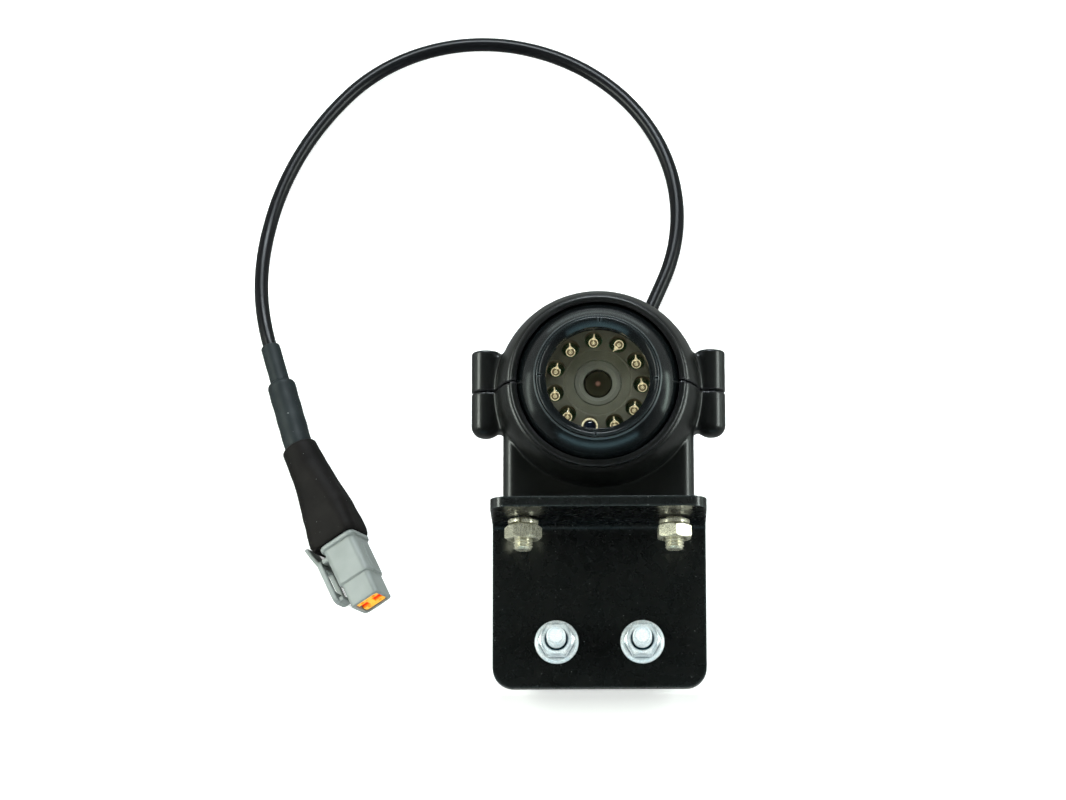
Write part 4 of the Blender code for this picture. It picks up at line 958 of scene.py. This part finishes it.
def make_lamps():
    turns = (8, -6, 10, 5, 140, -4, 7, -10, 6, -6)
    for index, x, y in led_spots():
        at = LENS @ spot(x, y, 0)
        if index == 0:
            make_photocell(at)
            continue
        name = f"{index:02d}"
        shell = turned(domed(LAMP_RADIUS, 9.9, 12.0, 14.4, 8, 84, 12), 40)
        add_piece(f"lamp_dome_{name}", shell, "led_clear", "camera", at, f"ir_led_{name}", 60)
        inside = toned(from_bmesh(f"lamp_frame_{name}", lamp_frame()), lamp_painted_shade)
        at = at @ spot(0, 0, 0, turns[index - 1])
        add_piece(f"lamp_frame_{name}", inside, "gold", "camera", at)


def make_lens():
    back, ledge = -2.5, 10.9
    barrel = [(3.4, back), (7.0, back, 0.4), (7.2, SHROUD_FACE - 0.3, 0.3)]
    barrel += [(5.85, SHROUD_FACE - 0.25, 0.12), (5.5, SHROUD_FACE - 0.7, 0.1)]
    barrel += [(4.5, 13.1), (4.4, ledge), (3.4, ledge)]
    lens_piece("lens_tube", filleted(barrel, 0.1), "barrel", "lens_barrel", 96)
    glass = domed(4.1, 11.2, 12.6, 13.05, 12, 82, 12)
    lens_piece("lens_front", glass, "dark_lens", "lens_glass", 72, 60)


def make_window():
    pane = [(0, 17.2), (17.5, 17.2), (17.5, 19.2), (0, 19.2)]
    lens_piece("window_pane", filleted(pane, 0.2, False), "window", "window_glass")


def make_gland():
    bore, neck, inner_face, outer_face, end = 2.55, 4.3, -24.2, -28.18, -32.8
    gland = [(bore, -22.8), (6.2, -22.8, 0.3), (6.2, inner_face), (neck, inner_face)]
    gland += [(neck, outer_face), (6.8, outer_face, 0.3), (6.8, -30.2, 0.8), (5.0, -31.7, 0.8)]
    gland += [(3.9, end, 0.5), (bore, end, 0.2)]
    lens_piece("gland_moulding", filleted(gland, 0.1), "rubber", "cable_gland", 72)
    tail = swept([Vector((0, 0, -28.6)), Vector((0, 0, -14.0))], CABLE_RADIUS, 32)
    add_piece("cable_inner", tail, "cable", "camera", LENS, "cable_tail")


# ---- cable

LOOP_START = math.radians(21.9)
LOOP_STRAIGHT, EXIT_BEND, PLUG_LIFT, CABLE_END = 55.6, 8.0, 6.0, 24.0
LOOP_ARCS = ((66.3, math.radians(100.2)), (59.0, math.radians(60.1)))
LAST_RADIUS, CABLE_START, STRAIGHT_STEPS = 103.9, 28.9, 14


def smooth_step(t):
    t = min(max(t, 0.0), 1.0)
    return t * t * (3 - 2 * t)


def rounded_bend(corner, incoming, outgoing, radius, steps):
    turn = incoming.angle(outgoing)
    start = corner - incoming * radius * math.tan(turn / 2)
    inward = (outgoing - incoming * incoming.dot(outgoing)).normalized()
    centre = start + inward * radius
    angles = [turn * k / steps for k in range(steps + 1)]
    return [centre + radius * (math.sin(a) * incoming - math.cos(a) * inward) for a in angles]


def loop_points():
    """The cable's centre line in the loop's plane."""
    out = Vector((0, math.sin(LOOP_LEAN), -math.cos(LOOP_LEAN)))
    bend = rounded_bend(Vector(), out, heading(LOOP_START), EXIT_BEND, 16)
    points = [-out * (CABLE_EXIT - CABLE_START)] + bend
    for k in range(1, STRAIGHT_STEPS + 1):
        points.append(bend[-1].lerp(heading(LOOP_START) * LOOP_STRAIGHT, k / STRAIGHT_STEPS))
    position = points[-1]
    lean = LOOP_START
    last_turn = math.pi + LOOP_START + SLEEVE_LEAN - sum(turn for _, turn in LOOP_ARCS)
    for index, (radius, turn) in enumerate((*LOOP_ARCS, (LAST_RADIUS, last_turn))):
        centre = position + radius * heading(lean - math.pi / 2)
        steps = math.ceil(turn / math.radians(2))
        for k in range(1, steps + 1):
            here = lean - turn * k / steps
            position = centre - radius * heading(here - math.pi / 2)
            if index == len(LOOP_ARCS):
                position = position + Vector((0, 0, PLUG_LIFT * smooth_step(2 * k / steps - 1)))
            points.append(position)
        lean -= turn
    return points


def make_cable():
    """The cable as far as into the sleeves. Gives back where those start."""
    points = loop_points()
    sleeve_start = points[-1].copy()
    along = heading(math.pi - SLEEVE_LEAN)
    points += [sleeve_start + along * 2, sleeve_start + along * CABLE_END]
    jacket = swept(points, CABLE_RADIUS, 28)
    add_piece("cable_jacket", jacket, "cable", "cable", LOOP, "cable_loop", 60)
    return sleeve_start


# ---- plug

BODY_SIDE, LIP_SIDE, NOSE_SIDE, NOSE_CAVITY = 11.6, 13.0, 10.4, 8.2
BOOT_END, HOUSING_START, BODY_END, NOSE_END, WAY = 35.0, 28.5, 49.6, 57.8, 2.1
LATCH_X, LATCH_Z, LUG_X, RIB_X, RIB_Z = -8.3, 38.4, -6.8, 5.3, 44.5
NOSE_FLOOR, WAY_RADIUS, WIRE_HOLE = 47.2, 1.3, 0.6


def sleeve(inner, outer, low, high, shoulder, waviness):
    """A shrunk sleeve with a rounded shoulder, gently uneven along its length."""
    levels = [
        (outer - inset * shoulder, low + rise * shoulder)
        for inset, rise in ((1, 0.0), (0.55, 0.12), (0.22, 0.42), (0.05, 0.8))
    ]
    levels += [(outer, z) for z in np.linspace(low + shoulder, high, 35)]

    def wavy(radius, z):
        return lambda a: radius + waviness * (
            math.sin(2 * a + 0.5 * z) * 0.5 + math.sin(0.9 * z + a)
        )

    rings = [ring_of(wavy(radius, z), z, 64) for radius, z in levels]
    return skin(rings + circles((inner, high), (inner, low), sides=64), hollow=True)


def squarish(half_x, half_y, corner, shift, height, bulge=0.0, count=96):
    """A ring between a circle and a rectangle, points spread by angle."""
    angles = 2 * np.pi * np.arange(count) / count
    c, s = np.cos(angles), np.sin(angles)
    low, high = np.zeros(count), np.full(count, 40.0)
    for _ in range(30):
        reach = (low + high) / 2
        inside = rounded_corner(abs(reach * c) - half_x, abs(reach * s) - half_y, corner) < 0
        low, high = np.where(inside, reach, low), np.where(inside, high, reach)
    reach = reach + bulge * wrinkle(angles, height)
    return list(zip(reach * c + shift, reach * s, [height] * count))


def wrinkle(angles, height):
    """The boot's unevenness: soft dents and the pull towards its wide end."""
    slow = 0.5 * np.sin(3 * angles + 0.33 * height) + 0.5 * np.sin(2 * angles - 0.5 * height)
    dent = np.exp(-(((height - 7) / 2.2) ** 2 + ((np.cos(angles) - 0.6) / 0.5) ** 2))
    fold = np.exp(-(((height - 23) / 1.6) ** 2)) * (0.5 + 0.5 * np.sin(angles + 0.6))
    return 0.4 * slow - 0.9 * dent + 0.9 * fold


def boot():
    """The shrink boot: round at its mouth, nearly square where it grips the housing."""
    heights = [-BOOT_LEAD, 0.25 - BOOT_LEAD, 0.6 - BOOT_LEAD, 10, 20, 29, 33.0, 34.3, 34.8, BOOT_END]
    half_x = [5.35, 5.6, 5.7, 6.3, 7.3, 8.2, 8.35, 8.1, 7.85, 7.6]
    half_y = [5.35, 5.6, 5.7, 5.9, 6.5, 7.0, 7.1, 6.95, 6.8, 6.65]
    corner = [5.34, 5.59, 5.69, 5.4, 4.6, 3.6, 3.4, 3.3, 3.2, 3.1]
    shift = [0, 0, 0, 0, -0.1, -0.7, -0.95, -0.9, -0.85, -0.8]
    rings = []
    for z in (*heights[:3], *np.linspace(0.2, 33, 48), 33.6, 34.3, 34.8, BOOT_END):
        sizes = [np.interp(z, heights, values) for values in (half_x, half_y, corner, shift)]
        bulge = 0.28 * smooth_step((z + BOOT_LEAD) / 4) * smooth_step((BOOT_END - z) / 3)
        rings.append(squarish(*sizes, z, bulge))
    cavity, mouth = BODY_SIDE / 2 + GAP, 5.0
    rings += [squarish(cavity, cavity, 2.3, 0, z) for z in (BOOT_END, HOUSING_START - 2)]
    rings += [squarish(mouth, mouth, mouth - 0.01, 0, z) for z in (15, -BOOT_LEAD)]
    return skin(rings, hollow=True)


def square_post(x, y, z, side, corner, low, high, edge):
    return field_post(x, y, z, side / 2, side / 2, corner, low, high, edge)


def housing_field(x, y, z):
    body = square_post(x, y, z, BODY_SIDE, 2.0, HOUSING_START, BODY_END, 0.45)
    lip = square_post(x, y, z, LIP_SIDE, 2.4, BOOT_END + GAP, BOOT_END + 1.8, 0.4)
    nose = square_post(x, y, z, NOSE_SIDE, 1.6, BODY_END - 3, NOSE_END, 0.4)
    shape = smooth_union(smooth_union(body, lip, 0.35), nose, 0.25)
    rib = field_box(x - RIB_X, y, z - RIB_Z, (0.85, 1.6, 5.2), 0.4)
    shape = smooth_union(shape, rib, 0.3)
    lug = field_box(x - LUG_X, y, z - LATCH_Z, (1.2, 3.5, 0.8), 0.25)
    shape = smooth_union(shape, lug, 0.35)
    nose_hollow = square_post(x, y, z, NOSE_CAVITY, 1.0, NOSE_FLOOR, 70, 0.1)
    seal_hollow = field_box(x, y, z - HOUSING_START, (5, 5, 5), 0.1)
    shape = smooth_cut(smooth_cut(shape, nose_hollow, 0.12), seal_hollow, 0.1)
    way = np.sqrt((np.abs(x) - WAY) ** 2 + (np.abs(y) - WAY) ** 2) - WAY_RADIUS
    return np.maximum(shape, -way)


def wedge_field(x, y, z):
    """The orange lock: a plate in the nose with two notches, four holes and a tongue behind."""
    face = NOSE_END - 0.4
    plate = square_post(x, y, z, NOSE_CAVITY - 2 * GAP, 0.9, face - 2.0, face, 0.18)
    tongue = field_box(x, y, z - (face - 5.4), (3.5, 0.7, 3.7), 0.15)
    shape = smooth_union(plate, tongue, 0.2)
    notch = field_box(np.abs(x) - 2.7, y, z - face, (1.8, 1.45, 1.1), 0.2)
    shape = smooth_cut(shape, notch, 0.12)
    hole = np.sqrt((np.abs(x) - WAY) ** 2 + (np.abs(y) - 1.12 * WAY) ** 2) - WIRE_HOLE
    return smooth_cut(shape, hole, 0.12)


def wedge_painted_shade(x, y, z):
    """How near a point of the lock is to its outer face; the look paints shade on the deeper points.
    """
    return min(max((z - NOSE_END + 1.3) / 0.7, 0.0), 1.0)


def latch_field(x, y, z):
    """The lever about its pivot: a loop ahead, a hook across its end, and the thumb pad behind."""
    from_middle = z - 6.7
    flat = field_post(from_middle, y, x, 7.9, 3.9, 2.2, -1.75, -0.05, 0.4)
    window = field_post(from_middle, y, x, 4.2, 2.3, 0.8, -9, 9, 0.0)
    shape = smooth_cut(flat, window, 0.3)
    hook = field_box(x - 0.3, y, z - 13.7, (1.3, 2.8, 0.8), 0.3)
    shape = smooth_union(shape, hook, 0.4)
    rise = np.clip((0.6 - z) / 7.6, 0, 1)
    centre = -1.0 - 1.9 * rise**0.8
    pad = field_box(x - centre, y, z + 3.2, (0.7, 3.5, 3.8), 0.5) * 0.9
    return smooth_union(shape, pad, 0.5)


def make_sleeves(sleeves_at, plug_at):
    thin = sleeve(2.55, 3.1, 0, 17.0, 0.4, 0.02)
    add_piece("thin_tube", thin, "slate_sleeve", "plug", sleeves_at, "thin_sleeve", 50)
    middle = sleeve(3.4, 4.5, 13.8, SLEEVES_LENGTH + 1.5, 1.3, 0.05)
    add_piece("middle_tube", middle, "slate_sleeve", "plug", sleeves_at, "middle_sleeve", 50)
    add_piece("boot_tube", boot(), "brown_sleeve", "plug", plug_at, "shrink_boot", 50)


def make_plug(sleeve_start):
    boot_mouth = sleeve_start + heading(math.pi - SLEEVE_LEAN) * SLEEVES_LENGTH
    plug_start = boot_mouth + heading(math.pi - PLUG_LEAN) * BOOT_LEAD
    plug_at = LOOP @ plug_frame(plug_start, PLUG_LEAN)
    make_sleeves(LOOP @ plug_frame(sleeve_start, SLEEVE_LEAN), plug_at)
    shell = field_mesh("plug_shell", housing_field, (-8.6, -7.2, 28), (7.2, 7.2, 58.4), 0.2)
    add_piece("plug_shell", shell, "grey_plastic", "plug", plug_at, "connector_housing", 60)
    lock = field_mesh("wedge_moulding", wedge_field, (-4.4, -4.4, 47.6), (4.4, 4.4, 58.0), 0.14)
    lock = toned(lock, wedge_painted_shade)
    add_piece("wedge_moulding", lock, "orange_plastic", "wedge", plug_at, "wedge_lock", 60)
    lever = field_mesh("latch_lever", latch_field, (-4.2, -4.6, -7.8), (2.2, 4.6, 15.2), 0.18)
    latch_at = plug_at @ spot(LATCH_X, 0, LATCH_Z)
    add_piece("latch_lever", lever, "grey_plastic", "latch", latch_at, "connector_latch", 60)


# ---- CAD nodes that stay


def keep_cad_nodes():
    """Hidden inner parts keep their CAD shape and get a finished material."""
    slots = {part["node"]: part["material_slot"] for part in frame["record"]["subparts"]}
    for name, obj in frame["nodes"].items():
        if obj.hide_render:
            continue
        obj.data.materials.clear()
        obj.data.materials.append(LOOKS[slots[name]])
        obj.data.shade_smooth()
        obj.data.set_sharp_from_angle(angle=math.radians(35))


# ---- stage, light and camera

TOWARDS_CAMERA = Vector((0.0237, -0.9713, -0.2368)).normalized()
TABLE_NORMAL = Vector((0, -0.972, 0.235)).normalized()


def moved_from_rest(tree, bodies):
    """A socket that turns from 0 to 1 as soon as a joint turns one of the bodies."""
    socket = tree.nodes.new("ShaderNodeValue").outputs[0]
    driver = socket.driver_add("default_value").driver
    terms = []
    for body in bodies:
        for axis in "XYZ":
            turn = driver.variables.new()
            turn.name = f"{body}_{axis.lower()}"
            turn.type = "TRANSFORMS"
            turn.targets[0].id = frame["bodies"][body]
            turn.targets[0].transform_type = f"ROT_{axis}"
            terms.append(f"abs({turn.name})")
    driver.expression = f"min(1, 1000 * ({' + '.join(terms)}))"
    return socket


def pale(name, colour, glow, soft_side=None, aside=()):
    """A pale matt surface that can only be seen from its upper side. It clears away once a
    body named in aside has moved, because it lies just behind the object at rest."""
    look = Look(name)
    drift = look.ranged(look.noise(60.0), 0, 1)
    tone = look.mix(drift, colour, [c * 0.985 for c in colour])
    seen = look.node("LightPath", give="Is Camera Ray")
    look.set(Base_Color=tone, Roughness=0.75, Specular_IOR_Level=0.1)
    look.set(Emission_Color=tone, Emission_Strength=look.math("MULTIPLY", seen, glow))
    hidden = look.node("NewGeometry", give="Backfacing")
    if soft_side:
        incoming = look.node("NewGeometry", give="Incoming")
        normal = look.node("NewGeometry", give="Normal")
        facing = look.vector("DOT_PRODUCT", incoming, normal, "Value")
        edge_on = look.math("MULTIPLY", look.ranged(facing, 1, 0, *soft_side), seen)
        hidden = look.math("MAXIMUM", hidden, edge_on)
    if aside:
        hidden = look.math("MAXIMUM", hidden, moved_from_rest(look.tree, aside))
    look.surface(look.blend(hidden, look.shader.outputs[0], look.node("BsdfTransparent")))


def sheet(name, centre, normal, size, look):
    bm = bmesh.new()
    turn = Vector(normal).to_track_quat("Z", "Y").to_matrix().to_4x4()
    bmesh.ops.create_grid(bm, x_segments=1, y_segments=1, size=size)
    moved(bm, Matrix.Translation(centre) @ turn)
    mesh = bpy.data.meshes.new(name)
    bm.to_mesh(mesh)
    bm.free()
    mesh.materials.append(LOOKS[look])
    obj = add_object(name, mesh)
    obj.visible_glossy = False
    obj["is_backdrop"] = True
    return obj


def stand(obj, place, direction):
    """Puts a light or a camera at a place, looking in a direction."""
    obj.location = place
    obj.rotation_mode = "QUATERNION"
    obj.rotation_quaternion = direction.to_track_quat("-Z", "Y")


def softbox(name, place, width, height, power, colour):
    light = bpy.data.lights.new(name, "AREA")
    light.shape = "RECTANGLE"
    light.size, light.size_y = width, height
    light.energy = power
    light.color = colour
    target = Vector((0, -0.01, 0.07))
    stand(add_object(name, light), place, target - Vector(place))


def make_room():
    """The light of the room, by how far a direction leans from the viewer's: pale behind and
    beside the object, nearly dark round the viewer. What is seen of it directly is white."""
    world = bpy.data.worlds.new("room")
    bpy.context.scene.world = world
    world.use_nodes = True
    room = Nodes(world.node_tree)
    direction = room.node("TexCoord", give="Generated")
    leaning = room.vector("DOT_PRODUCT", direction, TOWARDS_CAMERA, "Value")
    curve = room.tree.nodes.new("ShaderNodeFloatCurve")
    room.feed(curve, {"Value": room.ranged(leaning, 0, 1, -1, 1)})
    points = curve.mapping.curves[0].points
    points[0].location, points[1].location = (0.0, 0.30), (1.0, 0.012)
    for place in ((0.22, 0.34), (0.42, 0.42), (0.53, 0.26), (0.64, 0.025)):
        points.new(*place)
    for point in points:
        point.handle_type = "VECTOR"
    curve.mapping.update()
    seen = room.node("LightPath", give="Is Camera Ray")
    strength = room.node("Mix", {0: seen, 2: curve.outputs["Value"], 3: 1.0})
    tint = room.mix(seen, (0.94, 1.0, 0.97), WHITE)
    room.feed(room.tree.nodes["Background"], {"Strength": strength, "Color": tint})


def make_stage():
    pale("table", (0.93, 0.93, 0.925), 0.55, (0.76, 0.86), ("cable", "plug"))
    sheet("table_top", (0, 9.92 * MM, 0), TABLE_NORMAL, 3.0, "table")
    pale("floor", (0.90, 0.90, 0.895), 0.85)
    floor_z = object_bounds()[0].z - 0.6 * MM
    sheet("floor", (0, 0, floor_z), (0, 0, 1), 4.0, "floor").visible_shadow = False
    make_room()
    for lamp in (
        ("sky", (0.02, -0.5, 0.85), 0.5, 0.14, 8.0, (0.86, 0.95, 1.0)),
        ("left", (-0.78, -0.45, 0.15), 0.18, 0.7, 6.5, (0.92, 1.0, 0.92)),
        ("right", (0.78, -0.42, 0.15), 0.18, 0.7, 6.0, (0.91, 1.0, 0.95)),
        ("low", (0.0, -0.18, -0.75), 1.5, 0.08, 0.75, (0.50, 0.88, 1.0)),
        ("top", (0.0, 0.20, 0.95), 1.3, 0.05, 0.42, (0.80, 0.97, 0.95)),
        ("far_left", (-0.85, 0.02, 0.10), 0.06, 0.5, 0.30, (0.86, 1.0, 0.90)),
        ("far_right", (0.85, 0.02, 0.10), 0.06, 0.5, 0.50, (0.80, 1.0, 0.90)),
    ):
        softbox(*lamp)


def make_camera():
    distance, aim = 1.32, Vector((-20.5, -3.2, 77.0)) * MM
    camera = bpy.data.cameras.new("camera")
    camera.sensor_width = 36.0
    camera.lens = 142.65
    camera.clip_start, camera.clip_end = 0.05, 20.0
    bpy.context.scene.camera = add_object("camera", camera)
    stand(bpy.context.scene.camera, aim + distance * TOWARDS_CAMERA, -TOWARDS_CAMERA)
    bpy.context.scene.view_settings.view_transform = "Standard"


make_looks()
make_bracket()
make_hardware()
make_clamp()
make_shells()
make_bezel()
make_shroud()
make_lamps()
make_lens()
make_window()
make_gland()
make_plug(make_cable())
keep_cad_nodes()
make_stage()
make_camera()

boxes = {"cad": cad_box, "visual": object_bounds()}
{key: [list(corner) for corner in box] for key, box in boxes.items()}
